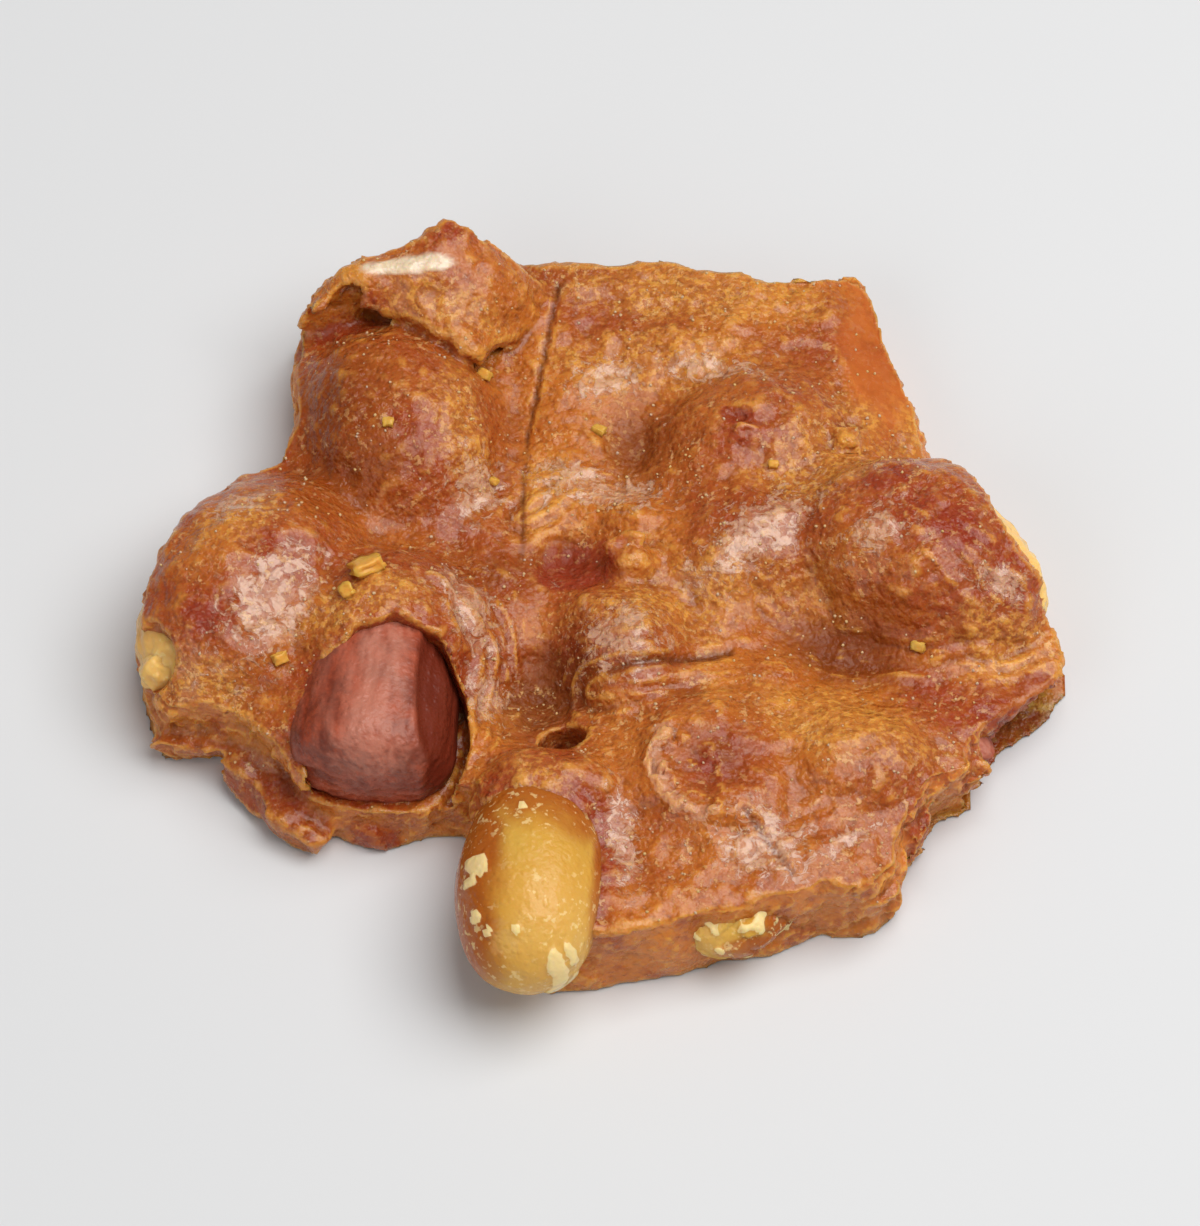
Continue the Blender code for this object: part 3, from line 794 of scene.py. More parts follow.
def sculpt_candy(candy):
    """Works the candy's fine shape: waves, ridges, wrinkles, broken faces, and masks for colours and painted shade.
    """
    mesh = candy.data
    places, normals = mesh_arrays(mesh)
    plan = places[:, :2]
    edge = line_distance(plan, OUTLINE, closed=True)
    top = soft_step(normals[:, 2], 0.1, 0.5)
    wall = (1 - soft_step(np.abs(normals[:, 2]), 0.35, 0.75)) * (1 - soft_step(edge, 0.7, 1.6))
    under = soft_step(-normals[:, 2], 0.5, 0.9)
    facet = np.array(Matrix.Rotation(math.radians(FACET_TURN[2]), 3, "Z")
                     @ Matrix.Rotation(math.radians(FACET_TURN[1]), 3, "Y") @ Vector((0, 0, 1)))
    off_plane = (places - FACET_MIDDLE) @ facet + FACET_SIZE[2] / 2
    sleek = soft_step(-np.abs(off_plane), -0.35, -0.1) * soft_step(normals @ facet, 0.9, 0.98)
    ragged = grain(places, 2.2, 22)
    sleek *= soft_step(plan[:, 0] + ragged, 14.2, 17.0) * soft_step(plan[:, 1] + ragged, 11.5, 14.0)
    lively = top * (1 - sleek)

    push = lively * (0.45 * grain(places, 7.0, 1) + 0.26 * grain(places, 2.6, 2) + 0.17 * grain(places, 1.1, 3))
    broken = wall > 0.05
    chipped = np.zeros(len(places))
    chipped[broken] = flaked(places[broken], 1.7, 1) + 0.5 * flaked(places[broken], 0.8, 2)
    calm = 1 - 0.7 * patch_shape(plan, (6.0, -24.0), (22.0, 8.0))
    push += wall * calm * (0.5 * chipped + 0.12 * grain(places, 0.6, 4) - 0.1)
    lips = burst_open(places, lively, BURST)
    groove = np.zeros(len(places))
    for ridge in RIDGES:
        wander = 0.35 * grain(places, 2.4, 6) if ridge.width > 0.3 else 0.1 * grain(places, 1.5, 6)
        profile = np.exp(-((line_distance(plan, ridge.points) + wander) / ridge.width) ** 2) * top
        push += ridge.height * profile
        # Grooves get painted shade through this mask.
        if ridge.height < 0:
            groove = np.maximum(groove, profile)
    wander = grain(places, 3.0, 5)
    ring = oval_distance(places, KERNELS["peanut_skin_front"])
    behind = soft_step(plan[:, 0] + 0.6 * plan[:, 1], -17.0, -12.0)
    crinkle = np.sin(2 * math.pi * (ring / 0.8 + 0.8 * wander)) * (0.6 + 0.6 * grain(places, 1.4, 8))
    push += lively * 0.15 * behind * crinkle * np.exp(-((ring - 1.9) / 1.3) ** 2)
    for points, reach, height in WRINKLES:
        run = line_distance(plan, points)
        turn = math.atan2(points[-1][1] - points[0][1], points[-1][0] - points[0][0])
        along = plan @ (math.cos(turn), math.sin(turn))
        fine = grain(np.column_stack((along / 4.5, run / 0.62 + wander, 0 * run)), 1.0, 8)
        push += lively * height * fine * np.exp(-(run / reach) ** 2)
    push += under * 0.25 * (1 + grain(places, 5.0, 7)) * -1
    keep_flat = np.where(under > 0.3, 1.0, soft_step(places[:, 2], 0.0, 0.8))
    places += normals * (push * keep_flat)[:, None]
    for middle, reach, depth in UNDERCUTS:
        low = soft_step(-places[:, 2], -4.6, -0.6) * wall
        near = patch_shape(plan, middle, (2 * reach, 2 * reach))
        inward = normals[:, :2] / np.maximum(np.linalg.norm(normals[:, :2], axis=1), 0.2)[:, None]
        places[:, :2] -= inward * (depth * near * low)[:, None]
    places[:, 2] = np.maximum(places[:, 2], 0.0)
    put_places(mesh, places)
    candy_masks(mesh, top, {"wall": wall, "sleek": sleek, "lip": lips, "groove": groove})


def candy_masks(mesh, top, known):
    """Puts on masks for colours, painted shade and painted highlights: known from shaping, and told by place."""
    for name, values in known.items():
        put_mask(mesh, name, values)
    places = mesh_arrays(mesh)[0]
    plan = places[:, :2]
    near = np.exp(-np.maximum(nearest(places, KERNELS.values()), 0) / 1.3)
    put_mask(mesh, "red", np.maximum(near, patches(plan, REDS)))
    swelling = nearest(places, [oval for oval in RISES if oval.over_kernel], 1.0)
    put_mask(mesh, "swelling", np.exp(-np.maximum(swelling, 0) / 1.6))
    # Painted highlights: pale patches, and the pale strip along the flake's fold.
    put_mask(mesh, "painted_highlight", patches(plan, PAINTED_HIGHLIGHTS) * top)
    put_mask(mesh, "film", soft_step(patch_shape(plan, *FLAKE_HIGHLIGHT) + 0.15 * grain(places, 1.2, 25), 0.4, 0.6) * top)
    # The hollow mask carries painted shade into hollows; the deep mask carries painted shade into the deepest
    # dishes.
    put_mask(mesh, "hollow", hollowness(mesh, 24, 0.5))
    put_mask(mesh, "rim", 1 - hollowness(mesh, 4, 0.10))
    dark = [0.5 * dish.depth * patch_shape(plan, dish.middle, dish.size, dish.heading) for dish in SHADED_DISHES]
    put_mask(mesh, "deep", sum(dark))
    # Deep red, partly painted shade in recesses and under the flake.
    put_mask(mesh, "maroon", patches(plan, MAROONS_AND_SHADE))
    put_mask(mesh, "gold", patches(plan, GOLDS))
    # Browner patches, partly painted shade on shaded flanks and in valleys.
    put_mask(mesh, "brown", sum(strength * patch_shape(plan, *patch) for patch, strength in BROWNS_AND_SHADE))


def hollowness(mesh, rounds, reach):
    """0.5 on even ground, more in hollows and less on swells: how far the smoothed surface lies above."""
    places, normals = mesh_arrays(mesh)
    ends = np.empty(len(mesh.edges) * 2, np.int32)
    mesh.edges.foreach_get("vertices", ends)
    first, second = ends[0::2], ends[1::2]
    number = np.bincount(first, minlength=len(places)) + np.bincount(second, minlength=len(places))
    smooth = places.copy()
    for _ in range(rounds):
        total = np.zeros_like(smooth)
        for axis in range(3):
            total[:, axis] = (np.bincount(first, smooth[second, axis], len(places))
                              + np.bincount(second, smooth[first, axis], len(places)))
        smooth = 0.5 * smooth + 0.5 * total / number[:, None]
    lift = ((smooth - places) * normals).sum(1)
    return 0.5 + lift / reach


def dress_kernel(mesh, oval, skinned):
    """Gives a kernel its dents, skin veins or broken spots, and masks for colours and painted light, shade and
    sheen.
    """
    places, normals = mesh_arrays(mesh)
    turned = np.array(oval_matrix(oval).inverted())
    local = places @ turned[:3, :3].T + turned[:3, 3]
    share = local / (np.array(oval.size) / 2)
    shape = 1 - 0.15 * soft_step(share[:, 0], -0.1, 1.0)
    if skinned and "front" in mesh.name:
        blunt = np.clip(-share[:, 0], 0, 0.98)
        shape = np.sqrt((1 - blunt**5) / (1 - blunt**2))
    local[:, 1:] *= shape[:, None]
    places = (local - turned[:3, 3]) @ np.linalg.inv(turned[:3, :3]).T
    put_places(mesh, places)
    places, normals = mesh_arrays(mesh)
    stretched = local * (0.16, 1.0, 1.0)
    push = 0.16 * grain(places, 3.8, 9) - 0.14
    if "end" in mesh.name:
        push += 0.24 * grain(places, 0.8, 23) - 0.3 * ("left" in mesh.name)
    if "notch" in mesh.name:
        push -= 0.45
    if skinned:
        veins = 1 - np.abs(grain(stretched, 0.8, 11))
        push += 0.10 * veins**4 - 0.05 + 0.05 * grain(stretched, 0.35, 12)
        streaks = 1 - np.abs(grain(local * (0.05, 1.0, 1.0), 0.42, 24))
        edge = 0.44 + 0.05 * grain(stretched, 2.0, 17)
        fold = np.exp(-((share[:, 1] + edge) / 0.06) ** 2)
        push += 0.12 * fold - 0.55 * soft_step(-share[:, 1], edge, edge + 0.2) * soft_step(share[:, 2], -0.3, 0.2)
        put_mask(mesh, "shade", soft_step(-share[:, 1], edge - 0.02, edge + 0.10))
        # A painted sheen: a lighter stripe down the middle of the skin, added to its paler veins.
        sheen = np.exp(-((share[:, 1] + 0.02) / 0.30) ** 2) * soft_step(share[:, 2], 0.0, 0.5)
        put_mask(mesh, "vein", 0.35 * veins**3 + sheen * (0.25 + 1.2 * streaks**3))
    else:
        push += 0.05 * grain(stretched, 0.9, 11)
        # Cream on the lower right side: partly the unstained kernel, partly painted light. The end kernels are cream
        # all over.
        lit_lower_right = 0.26 * soft_step(-share[:, 0], -0.1, 0.6) * soft_step(-share[:, 1], -0.5, 0.1)
        whole = {"kernel_left_end": 0.7, "kernel_right_end": 1.0}.get(mesh.name, 0.0)
        put_mask(mesh, "cream", np.maximum(lit_lower_right, whole))
    spots = np.zeros(len(places))
    ragged = 0.45 * grain(places, 0.9, 15)
    for x, y, radius in KERNEL_SPOTS:
        away = np.linalg.norm(places[:, :2] - (x, y), axis=1) / radius + ragged
        spots = np.maximum(spots, (1 - soft_step(away, 0.8, 1.0)) * soft_step(places[:, 2], 1.5, 2.5))
    if "fragment" in mesh.name:
        spots = soft_step(grain(places, 0.9, 16), 0.1, 0.3)
        push += 0.30 * flaked(places, 1.3, 3)
    push += 0.16 * spots
    places += normals * push[:, None]
    put_places(mesh, places)
    patchy = grain(places, 1.8, 14)
    # Amber: a film of candy over the upper end, and painted shade along the flanks.
    flank_shade = soft_step(share[:, 1] + 0.2 * patchy, 0.0, 0.75) + soft_step(-share[:, 1], 0.75, 0.95)
    glaze = np.maximum(soft_step(share[:, 0] + 0.15 * patchy, -0.1, 0.6), flank_shade)
    put_mask(mesh, "glaze", np.maximum(glaze, 0.3 * ("left" in mesh.name)))
    put_mask(mesh, "pale", spots)


def on_candy(candy, spots):
    """Where plumb lines through places in plan meet the candy's top, with the way the surface faces there."""
    tree = BVHTree.FromPolygons([vert.co / MM - SHIFT for vert in candy.data.vertices],
                                [face.vertices for face in candy.data.polygons])
    for spot in spots:
        place, normal = tree.ray_cast(Vector((*spot, 30.0)), Vector((0, 0, -1)))[:2]
        if place is not None:
            yield spot, place, normal


def strewn_bits(candy):
    """Pale crumbs that stick in the candy's top, as one mesh."""
    bm = bmesh.new()
    sizes = {spot: (size, heading) for spot, size, heading in CRUMBS}
    for number, (spot, place, normal) in enumerate(on_candy(candy, sizes)):
        size, heading = sizes[spot]
        tilt = normal.to_track_quat("Z", "Y").to_euler()
        turn = (math.degrees(tilt.x), math.degrees(tilt.y), math.degrees(tilt.z) + heading)
        broken_bit(bm, Chip(place + normal * (0.3 * size[2]), size, turn), 20 + number)
    return bm


def sugar_grains(candy):
    """A dusting of sugar grains on the candy's top, thicker in some places, as one mesh."""
    bm = bmesh.new()
    chance = np.random.default_rng(GRAIN_SEED)
    spots = chance.uniform(*GRAIN_FIELD, (GRAIN_COUNT, 2))
    thick = [spot for spot in spots if noise.noise(Vector((*spot, 0)) / 4.0) > chance.uniform(-0.3, 0.3)]
    for _, place, normal in on_candy(candy, [tuple(spot) for spot in thick]):
        radius = chance.uniform(*GRAIN_RADII)
        if normal.z < 0.4:
            continue
        made = bmesh.ops.create_icosphere(bm, subdivisions=1, radius=radius)["verts"]
        for vert in made:
            vert.co *= chance.uniform(0.7, 1.3)
        bmesh.ops.translate(bm, verts=made, vec=place + normal * radius * 0.2)
    return bm


# ---------------------------------------------------------------- materials


class Graph:
    """Adds and joins the nodes of a material or a node group."""

    def __init__(self, tree):
        self.tree = tree

    def node(self, kind, inputs=None, **settings):
        made = self.tree.nodes.new(kind)
        for name, value in settings.items():
            setattr(made, name, value)
        for key, value in (inputs or {}).items():
            self.feed(made.inputs[key], value)
        return made

    def feed(self, socket, value):
        if isinstance(value, bpy.types.NodeSocket):
            self.tree.links.new(value, socket)
        else:
            socket.default_value = value

    def mask(self, name):
        return self.node("ShaderNodeAttribute", attribute_name=name).outputs["Fac"]

    def math(self, operation, first, second=0.0):
        return self.node("ShaderNodeMath", {0: first, 1: second}, operation=operation).outputs[0]

    def times(self, first, second):
        return self.math("MULTIPLY", first, second)

    def plus(self, first, second):
        return self.math("ADD", first, second)

    def most(self, first, second):
        return self.math("MAXIMUM", first, second)

    def rest(self, value):
        """What is left of 1."""
        return self.math("SUBTRACT", 1.0, value)

    def ramp(self, value, start, end):
        """0 below start, 1 above end, soft between."""
        made = self.node("ShaderNodeMapRange", {"Value": value, "From Min": start, "From Max": end},
                         interpolation_type="SMOOTHSTEP")
        return made.outputs["Result"]

    def mix(self, share, first, second):
        made = self.node("ShaderNodeMix", data_type="RGBA")
        self.feed(made.inputs["Factor"], share)
        self.feed(made.inputs[6], first if isinstance(first, bpy.types.NodeSocket) else (*first, 1.0))
        self.feed(made.inputs[7], (*second, 1.0))
        return made.outputs[2]

    def noise(self, size, detail=2.0, roughness=0.5, distortion=0.0):
        """Noise with lumps of a size in metres."""
        scale = self.math("DIVIDE", 1.0, size)
        return self.node("ShaderNodeTexNoise", {
            "Vector": self.node("ShaderNodeTexCoord").outputs["Object"], "Scale": scale, "Detail": detail,
            "Roughness": roughness, "Distortion": distortion}).outputs["Fac"]

    def sway(self, size, detail, roughness, reach):
        """Noise to both sides of 0."""
        return self.times(self.math("SUBTRACT", self.noise(size, detail, roughness), 0.5), reach)

    def cells(self, size):
        """The distance from the nearest of many points, about a size in metres apart."""
        scale = self.math("DIVIDE", 1.0, size)
        return self.node("ShaderNodeTexVoronoi", {
            "Vector": self.node("ShaderNodeTexCoord").outputs["Object"], "Scale": scale}).outputs["Distance"]

    def group(self, tree, output, **inputs):
        made = self.node("ShaderNodeGroup", node_tree=tree)
        for name, value in inputs.items():
            self.feed(made.inputs[name], value)
        return made.outputs[output]


class Paint:
    """A colour built up in layers over a ground of two mottled tones."""

    def __init__(self, graph, lumps, start, end, low, high):
        self.graph = graph
        self.colour = graph.mix(graph.ramp(graph.noise(*lumps), start, end), low, high)

    def lay(self, mask, strength, tone):
        self.colour = self.graph.mix(self.graph.times(mask, strength), self.colour, tone)


def new_group(name, inputs, output):
    """An empty node group with number inputs, their defaults, and one output."""
    tree = bpy.data.node_groups.new(name, "ShaderNodeTree")
    for label, default in inputs.items():
        socket = tree.interface.new_socket(name=label, in_out="INPUT", socket_type="NodeSocketFloat")
        socket.default_value = default
    tree.interface.new_socket(name=output, in_out="OUTPUT", socket_type="NodeSocketFloat")
    graph = Graph(tree)
    return tree, graph, graph.node("NodeGroupInput").outputs, graph.node("NodeGroupOutput").inputs


def grain_group():
    """Fine grains over softer ripples, as a height for a bump."""
    tree, graph, given, result = new_group("Sugar grain", {"Size": 0.0008, "Ripple": 1.0}, "Height")
    fine = graph.noise(given["Size"], 2, 0.55)
    ripple = graph.noise(graph.times(given["Size"], 3.2), 3, 0.6, 0.3)
    beads = graph.ramp(graph.cells(graph.times(given["Size"], 0.9)), 0.5, 0.1)
    height = graph.plus(graph.times(fine, 0.7), graph.times(ripple, given["Ripple"]))
    graph.feed(result["Height"], graph.plus(height, graph.times(beads, 0.22)))
    return tree


def mottle_group():
    """Turns a soft patch into one with a crisp, worm-eaten edge."""
    tree, graph, given, result = new_group("Mottle", {"Patch": 0.0, "Size": 0.002, "Bite": 1.0}, "Mask")
    eaten = graph.math("SUBTRACT", graph.noise(given["Size"], 5, 0.68, 0.8), 0.5)
    value = graph.plus(given["Patch"], graph.times(eaten, graph.times(given["Bite"], 2.4)))
    graph.feed(result["Mask"], graph.ramp(value, 0.42, 0.62))
    return tree


def speck_group():
    """Fine irregular specks, here and there."""
    tree, graph, given, result = new_group("Specks", {"Size": 0.0005, "Cover": 0.5}, "Mask")
    dots = graph.ramp(graph.noise(given["Size"], 2, 0.6), 0.56, 0.66)
    share = graph.plus(graph.noise(graph.times(given["Size"], 7.0), 2), given["Cover"])
    graph.feed(result["Mask"], graph.times(dots, graph.ramp(share, 0.90, 1.12)))
    return tree


def new_material(name, glow, radius, depth, roughness):
    """A material with a glow of light under its surface: its share, its colours' reach, and depth."""
    material = bpy.data.materials.new(name)
    material.use_nodes = True
    shader = material.node_tree.nodes["Principled BSDF"]
    shader.inputs["Subsurface Weight"].default_value = glow
    shader.inputs["Subsurface Radius"].default_value = radius
    shader.inputs["Subsurface Scale"].default_value = depth
    shader.inputs["Roughness"].default_value = roughness
    shader.inputs["IOR"].default_value = 1.32
    return material, Graph(material.node_tree), shader


def put_bump(graph, shader, height, distance, strength=0.8):
    bump = graph.node("ShaderNodeBump", {"Strength": strength, "Distance": distance, "Height": height})
    graph.feed(shader.inputs["Normal"], bump.outputs["Normal"])


def candy_material(looks, effects):
    material, graph, shader = new_material("candy", 0.4, (1.0, 0.42, 0.15), 0.0016, 0.3)
    mask, ramp, times, plus, noisy = graph.mask, graph.ramp, graph.times, graph.plus, graph.noise

    paint = Paint(graph, (0.009, 3, 0.6), 0.36, 0.66, looks.candy_brown, looks.candy_orange)
    paint.lay(ramp(mask("swelling"), 0.2, 0.8), 0.6, looks.candy_brown)
    paint.lay(ramp(plus(mask("red"), graph.sway(0.0016, 5, 0.7, 1.3)), 0.2, 1.1), 0.9, looks.candy_red)
    # Browner patches: partly the candy's own tone, partly painted shade.
    paint.lay(ramp(plus(mask("brown"), graph.sway(0.003, 4, 0.6, 0.5)), 0.1, 0.9), 1.0, looks.candy_umber_and_shade)
    # Deep red, partly painted shade in recesses and under the flake.
    maroon = graph.group(effects["mottle"], "Mask", Patch=mask("maroon"), Size=0.0015, Bite=0.5)
    calm = graph.most(graph.most(mask("wall"), mask("brown")), times(maroon, 0.5))
    calm = graph.rest(times(calm, 0.7))
    golden = times(ramp(plus(mask("gold"), graph.sway(0.004, 4, 0.6, 1.6)), 0.1, 0.9), calm)
    paint.lay(golden, 0.24, looks.candy_gold)
    grains = ramp(noisy(0.00048, 2, 0.6), 0.49, 0.60)
    paint.lay(times(grains, plus(times(calm, 0.14), times(golden, 0.6))), 0.72, looks.candy_gold)
    paint.lay(ramp(noisy(0.0006, 2, 0.6), 0.47, 0.36), 0.42, looks.candy_umber_and_shade)
    # Painted shade in hollows and in the deepest dishes.
    paint.lay(ramp(mask("hollow"), 0.54, 1.0), 0.7, looks.candy_umber_and_shade)
    paint.lay(ramp(mask("deep"), 0.25, 1.1), 0.7, looks.candy_painted_shade)
    paint.lay(mask("wall"), 0.62, looks.candy_wall)
    lobes = ramp(plus(noisy(0.0026, 4, 0.6), times(mask("maroon"), 0.22)), 0.50, 0.66)
    paint.lay(times(mask("wall"), lobes), 0.6, looks.candy_red)
    # Lays the deep red, partly painted shade.
    paint.lay(maroon, 0.62, looks.candy_maroon_and_shade)
    sleek = times(mask("sleek"), ramp(noisy(0.0035, 4, 0.6), 0.3, 0.6))
    paint.lay(times(sleek, ramp(mask("gold"), 1.0, 0.3)), 0.65, looks.candy_sleek)
    paint.lay(times(ramp(mask("rim"), 0.62, 1.0), graph.rest(times(maroon, 0.7))), 0.45, looks.candy_gold)

    # Painted highlights: pale worm-eaten patches, painted glints around them, and the painted highlight strip on the
    # flake.
    painted_highlight = graph.group(effects["mottle"], "Mask", Patch=mask("painted_highlight"), Size=0.0013, Bite=1.2)
    worms = ramp(noisy(0.0008, 3, 0.55, 1.0), 0.58, 0.47)
    glints = times(ramp(noisy(0.00062, 3, 0.6, 1.2), 0.57, 0.64), calm)
    glints = times(glints, ramp(mask("painted_highlight"), -0.12, 0.4))
    painted_highlight = graph.most(graph.most(times(painted_highlight, plus(0.3, times(worms, 0.7))), glints), mask("film"))
    paint.lay(painted_highlight, 0.64, looks.candy_pink_and_highlight)
    # The painted highlight strip along the flake's fold.
    paint.lay(mask("film"), 0.7, looks.highlight_white)
    # Pale specks: sugar specks, partly painted glints.
    specks = graph.group(effects["specks"], "Mask", Size=0.0005, Cover=0.5)
    specks = times(times(specks, calm), ramp(mask("sleek"), 0.6, 0.1))
    paint.lay(specks, 0.55, looks.candy_pale)
    lip = graph.group(effects["mottle"], "Mask", Patch=mask("lip"), Size=0.0014, Bite=0.5)
    paint.lay(lip, 0.32, looks.candy_pink_and_highlight)
    # Painted shade in the grooves.
    paint.lay(mask("groove"), 0.75, looks.candy_painted_shade)
    graph.feed(shader.inputs["Base Color"], paint.colour)

    dull = times(ramp(noisy(0.002, 5, 0.7), 0.38, 0.62), 0.2)
    graph.feed(shader.inputs["Roughness"], plus(0.16, plus(dull, times(mask("deep"), 0.3))))
    wet = graph.most(graph.rest(graph.most(mask("deep"), mask("brown"))), 0.0)
    wet = times(wet, plus(0.3, times(calm, 0.7)))
    graph.feed(shader.inputs["Coat Weight"], times(wet, plus(0.38, times(painted_highlight, 0.62))))
    shader.inputs["Coat Roughness"].default_value = 0.11
    height = graph.group(effects["grain"], "Height", Size=0.0006, Ripple=1.2)
    height = plus(height, times(plus(specks, painted_highlight), 0.2))
    put_bump(graph, shader, times(height, ramp(mask("sleek"), 1.2, 0.0)), 0.00042)
    return material


def bare_material(looks, effects):
    material, graph, shader = new_material("roasted_kernel", 0.3, (1.0, 0.55, 0.2), 0.0015, 0.27)
    paint = Paint(graph, (0.004, 3, 0.6), 0.3, 0.7, looks.kernel_gold, looks.kernel_light)
    # Amber for the candy film and painted shade; cream for the unstained kernel, partly painted light.
    glaze = graph.plus(graph.mask("glaze"), graph.sway(0.002, 4, 0.6, 0.6))
    paint.lay(graph.ramp(glaze, 0.05, 0.95), 0.92, looks.kernel_amber)
    paint.lay(graph.mask("cream"), 1.0, looks.kernel_cream)
    paint.lay(graph.group(effects["specks"], "Mask", Size=0.0005, Cover=0.55), 0.6, looks.kernel_pale)
    spots = graph.plus(graph.mask("pale"), graph.times(graph.noise(0.0006, 3, 0.7), 0.5))
    paint.lay(graph.ramp(spots, 0.6, 0.9), 0.9, looks.kernel_pale)
    graph.feed(shader.inputs["Base Color"], paint.colour)
    shader.inputs["Coat Weight"].default_value = 0.1
    shader.inputs["Coat Roughness"].default_value = 0.14
    put_bump(graph, shader, graph.group(effects["grain"], "Height", Size=0.0006, Ripple=0.7), 0.00018)
    return material


def skin_material(looks, effects):
    material, graph, shader = new_material("red_skin", 0.08, (1.0, 0.3, 0.15), 0.001, 0.36)
    paint = Paint(graph, (0.0022, 4, 0.65), 0.35, 0.65, looks.skin_dark, looks.skin_red)
    # Paler veins, and the painted sheen down the middle.
    paint.lay(graph.mask("vein"), 0.75, looks.skin_pale_and_sheen)
    paint.lay(graph.mask("shade"), 0.9, looks.skin_dark)
    graph.feed(shader.inputs["Base Color"], paint.colour)
    put_bump(graph, shader, graph.group(effects["grain"], "Height", Size=0.0005, Ripple=0.6), 0.00018)
    return material


def bit_material(name, effects, first, second):
    """Sugar grains and crumbs: translucent and paler than the candy."""
    material, graph, shader = new_material(name, 0.4, (1.0, 0.6, 0.25), 0.0012, 0.25)
    graph.feed(shader.inputs["Base Color"], Paint(graph, (0.002, 3, 0.6), 0.35, 0.65, first, second).colour)
    put_bump(graph, shader, graph.group(effects["grain"], "Height", Size=0.0005, Ripple=0.6), 0.00012)
    return material


# ---------------------------------------------------------------- settings


def colour_property(name, description, default):
    return FloatVectorProperty(name=name, description=description, default=default, subtype="COLOR", min=0, max=1)


class BrittleSizes(bpy.types.PropertyGroup):
    candy_detail: FloatProperty(
        name="Candy detail", description="Length of the candy mesh's edges", default=0.00027, unit="LENGTH")
    camera_height: FloatProperty(
        name="Camera height", description="Angle of the camera above the table", default=math.radians(58),
        subtype="ANGLE")


class BrittleLooks(bpy.types.PropertyGroup):
    candy_orange: colour_property("Candy orange", "Thin, well lit candy", (0.55, 0.158, 0.018))
    candy_brown: colour_property("Candy brown", "Thick candy", (0.36, 0.064, 0.010))
    candy_gold: colour_property("Candy gold", "Grains and thin rims of the candy", (0.84, 0.41, 0.072))
    candy_red: colour_property("Candy red", "Candy over a red skinned kernel", (0.33, 0.040, 0.011))
    # The browner tone of the candy, also used for painted shade in hollows and on shaded flanks.
    candy_umber_and_shade: colour_property("Candy umber", "Candy where it is thick and brown", (0.25, 0.048, 0.005))
    # Deep red of the candy, also used for painted shade in recesses and under the flake.
    candy_maroon_and_shade: colour_property("Candy maroon", "Candy at deep red breaks", (0.28, 0.025, 0.009))
    # The colour of painted shade in hollows and grooves.
    candy_painted_shade: colour_property("Candy dark", "Deep hollows", (0.15, 0.031, 0.003))
    # Sugar specks, partly painted glints, and sugar grains.
    candy_pale: colour_property("Candy pale", "Sugar specks", (0.82, 0.46, 0.17))
    # The pale pink of the painted highlights, also of the sugar grains and the burst lip.
    candy_pink_and_highlight: colour_property("Candy bloom", "Patches of dried film", (0.72, 0.44, 0.29))
    candy_sleek: colour_property("Candy facet", "The smooth facet at the back right", (0.60, 0.15, 0.026))
    candy_wall: colour_property("Candy break", "Freshly broken faces", (0.78, 0.27, 0.050))
    kernel_gold: colour_property("Kernel gold", "Roasted kernel", (0.66, 0.34, 0.046))
    kernel_light: colour_property("Kernel light", "Lighter parts of the kernel", (0.66, 0.375, 0.062))
    # Kernel under a film of candy, also used for its painted shade on the flanks.
    kernel_amber: colour_property("Kernel amber", "Kernel under a film of candy", (0.4, 0.082, 0.005))
    crumb_gold: colour_property("Crumb gold", "Loose crumbs", (0.80, 0.36, 0.06))
    # The colour of the painted highlight strip along the flake's fold.
    highlight_white: colour_property("Sugar white", "Grains of sugar", (0.92, 0.78, 0.56))
    # Unstained kernel, also used for painted light on the bare kernel's lower right side.
    kernel_cream: colour_property("Kernel cream", "Kernel that no candy has stained", (0.95, 0.57, 0.18))
    kernel_pale: colour_property("Kernel pale", "Broken faces of the kernel", (0.92, 0.70, 0.32))
    skin_red: colour_property("Skin red", "Peanut skin", (0.40, 0.068, 0.026))
    # Paler veins of the skin, and its painted sheen.
    skin_pale_and_sheen: colour_property("Skin light", "Lighter peanut skin", (0.56, 0.22, 0.15))
    skin_dark: colour_property("Skin dark", "Shaded peanut skin", (0.15, 0.020, 0.008))


# ---------------------------------------------------------------- operators


EFFECTS = {}


def shared_effects():
    """The node groups that the materials share, made once."""
    makers = {"grain": grain_group, "mottle": mottle_group, "specks": speck_group}
    for name, make in makers.items():
        if name not in EFFECTS:
            EFFECTS[name] = make()
    return EFFECTS


class BRITTLE_OT_candy(bpy.types.Operator):
    """Pours, melts and breaks the sheet of candy"""

    bl_idname = "brittle.candy"
    bl_label = "Candy sheet"

    def execute(self, context):
        candy = candy_mesh(context.scene.brittle_sizes)
        sculpt_candy(candy)
        candy.data.materials.clear()
        candy.data.materials.append(candy_material(context.scene.brittle_looks, shared_effects()))
        settle(candy)
        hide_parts("brittle")
        return {"FINISHED"}


class BRITTLE_OT_kernels(bpy.types.Operator):
    """Makes the kernels that the broken candy shows"""

    bl_idname = "brittle.kernels"
    bl_label = "Kernels"

    def execute(self, context):
        looks = context.scene.brittle_looks
        bare = bare_material(looks, shared_effects())
        skin = skin_material(looks, shared_effects())
        for node, oval in KERNELS.items():
            skinned = "skin" in node
            bm = bmesh.new()
            kernel(bm, oval, FINE_FACES)
            if node == "peanut_left_end":
                swell(bm, LEFT_NUB)
            obj = new_object(node.replace("peanut", "kernel"), bm, skin if skinned else bare)
            dress_kernel(obj.data, oval, skinned)
            settle(obj)
            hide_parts(node)
        return {"FINISHED"}


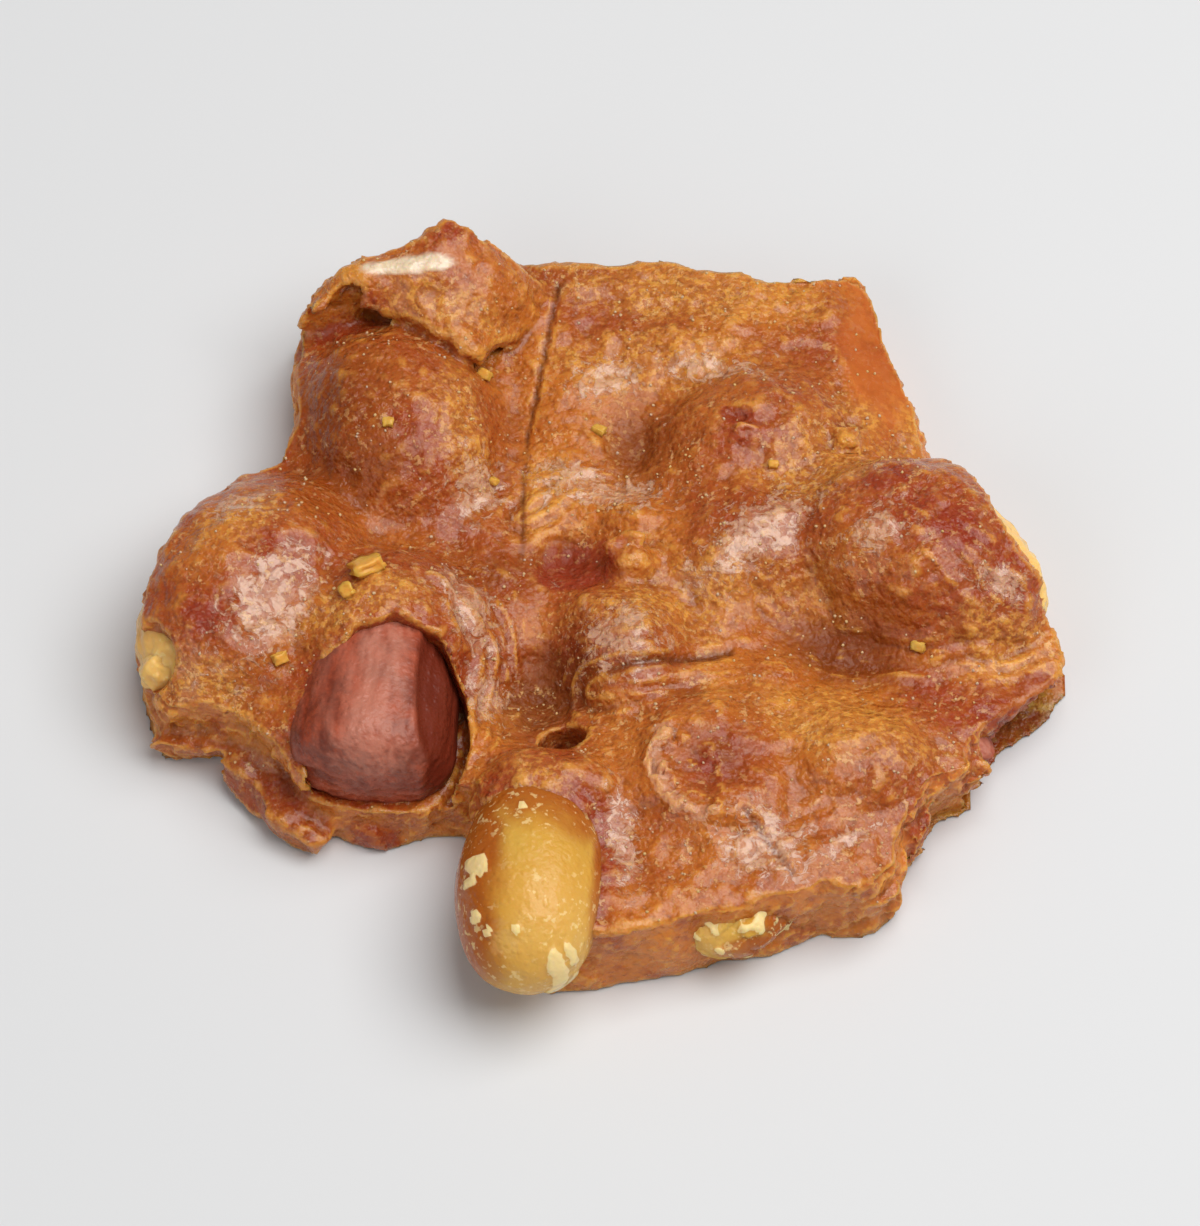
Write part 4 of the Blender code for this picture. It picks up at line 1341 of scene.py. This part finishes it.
class BRITTLE_OT_crumbs(bpy.types.Operator):
    """Strews crumbs and sugar grains over the candy"""

    bl_idname = "brittle.crumbs"
    bl_label = "Crumbs and sugar grains"

    def execute(self, context):
        candy = bpy.data.objects.get("candy")
        if candy is None:
            raise RuntimeError("the candy sheet comes before its crumbs")
        looks = context.scene.brittle_looks
        crumb = bit_material("crumb", shared_effects(), looks.crumb_gold, looks.kernel_light)
        sugar = bit_material("sugar_grain", shared_effects(), looks.candy_pale, looks.candy_pink_and_highlight)
        bits = {"crumbs": (strewn_bits, crumb), "sugar_grains": (sugar_grains, sugar)}
        for name, (make, material) in bits.items():
            obj = new_object(name, make(candy), material)
            settle(obj)
        return {"FINISHED"}


class BRITTLE_OT_stage(bpy.types.Operator):
    """Sets the table, the lights and the camera"""

    bl_idname = "brittle.stage"
    bl_label = "Table, lights and camera"

    def execute(self, context):
        scene = context.scene
        bm = bmesh.new()
        bmesh.ops.create_grid(bm, x_segments=2, y_segments=2, size=TABLE_REACH / MM)
        floor = new_object("table", bm)
        floor.data.transform(Matrix.Scale(MM, 4))
        material, _, shader = new_material("table", 0.0, (1.0, 1.0, 1.0), 0.001, 0.6)
        shader.inputs["Base Color"].default_value = TABLE_COLOUR
        floor.data.materials.append(material)
        floor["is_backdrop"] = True
        low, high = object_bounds()
        centre = (low + high) / 2
        camera = bpy.data.cameras.new("camera")
        camera.lens = CAMERA_LENS
        camera.sensor_width = CAMERA_SENSOR
        angle = scene.brittle_sizes.camera_height
        back = Vector((0, -math.cos(angle), math.sin(angle)))
        scene.camera = self.aim("camera", camera, centre, back, CAMERA_AWAY)
        for lamp in LAMPS:
            light = bpy.data.lights.new(lamp.name, "AREA")
            light.size = lamp.size
            light.energy = lamp.power
            light.color = lamp.colour
            heading, height = (math.radians(angle) for angle in lamp.direction)
            away = Vector((math.sin(heading) * math.cos(height), math.cos(heading) * math.cos(height),
                           math.sin(height)))
            self.aim(lamp.name, light, centre, away, lamp.distance)
        world = bpy.data.worlds.new("room")
        world.use_nodes = True
        world.node_tree.nodes["Background"].inputs["Color"].default_value = ROOM_COLOUR
        world.node_tree.nodes["Background"].inputs["Strength"].default_value = ROOM_STRENGTH
        scene.world = world
        scene.view_settings.view_transform = "Standard"
        return {"FINISHED"}

    def aim(self, name, data, centre, away, distance):
        """A camera or a light some way off from the centre, turned to face it."""
        obj = bpy.data.objects.new(name, data)
        bpy.context.scene.collection.objects.link(obj)
        obj.location = centre + away * distance
        obj.rotation_mode = "QUATERNION"
        obj.rotation_quaternion = (-away).to_track_quat("-Z", "Y")
        return obj


class BRITTLE_PT_panel(bpy.types.Panel):
    """Builds the shard piece by piece"""

    bl_label = "Peanut Brittle Shard"
    bl_idname = "BRITTLE_PT_panel"
    bl_space_type = "VIEW_3D"
    bl_region_type = "UI"
    bl_category = "Brittle"

    def draw(self, context):
        for settings in (context.scene.brittle_sizes, context.scene.brittle_looks):
            box = self.layout.box()
            for name in settings.__annotations__:
                box.prop(settings, name)
        for operator in OPERATORS:
            self.layout.operator(operator.bl_idname)


OPERATORS = (BRITTLE_OT_candy, BRITTLE_OT_kernels, BRITTLE_OT_crumbs, BRITTLE_OT_stage)
CLASSES = (BrittleSizes, BrittleLooks, *OPERATORS, BRITTLE_PT_panel)


def register():
    for cls in CLASSES:
        bpy.utils.register_class(cls)
    bpy.types.Scene.brittle_sizes = PointerProperty(type=BrittleSizes)
    bpy.types.Scene.brittle_looks = PointerProperty(type=BrittleLooks)


def unregister():
    del bpy.types.Scene.brittle_looks
    del bpy.types.Scene.brittle_sizes
    for cls in reversed(CLASSES):
        bpy.utils.unregister_class(cls)


def main():
    noise.seed_set(NOISE_SEED)
    register()
    bpy.ops.brittle.candy()
    bpy.ops.brittle.kernels()
    bpy.ops.brittle.crumbs()
    bpy.ops.brittle.stage()


if __name__ == "__main__":
    main()
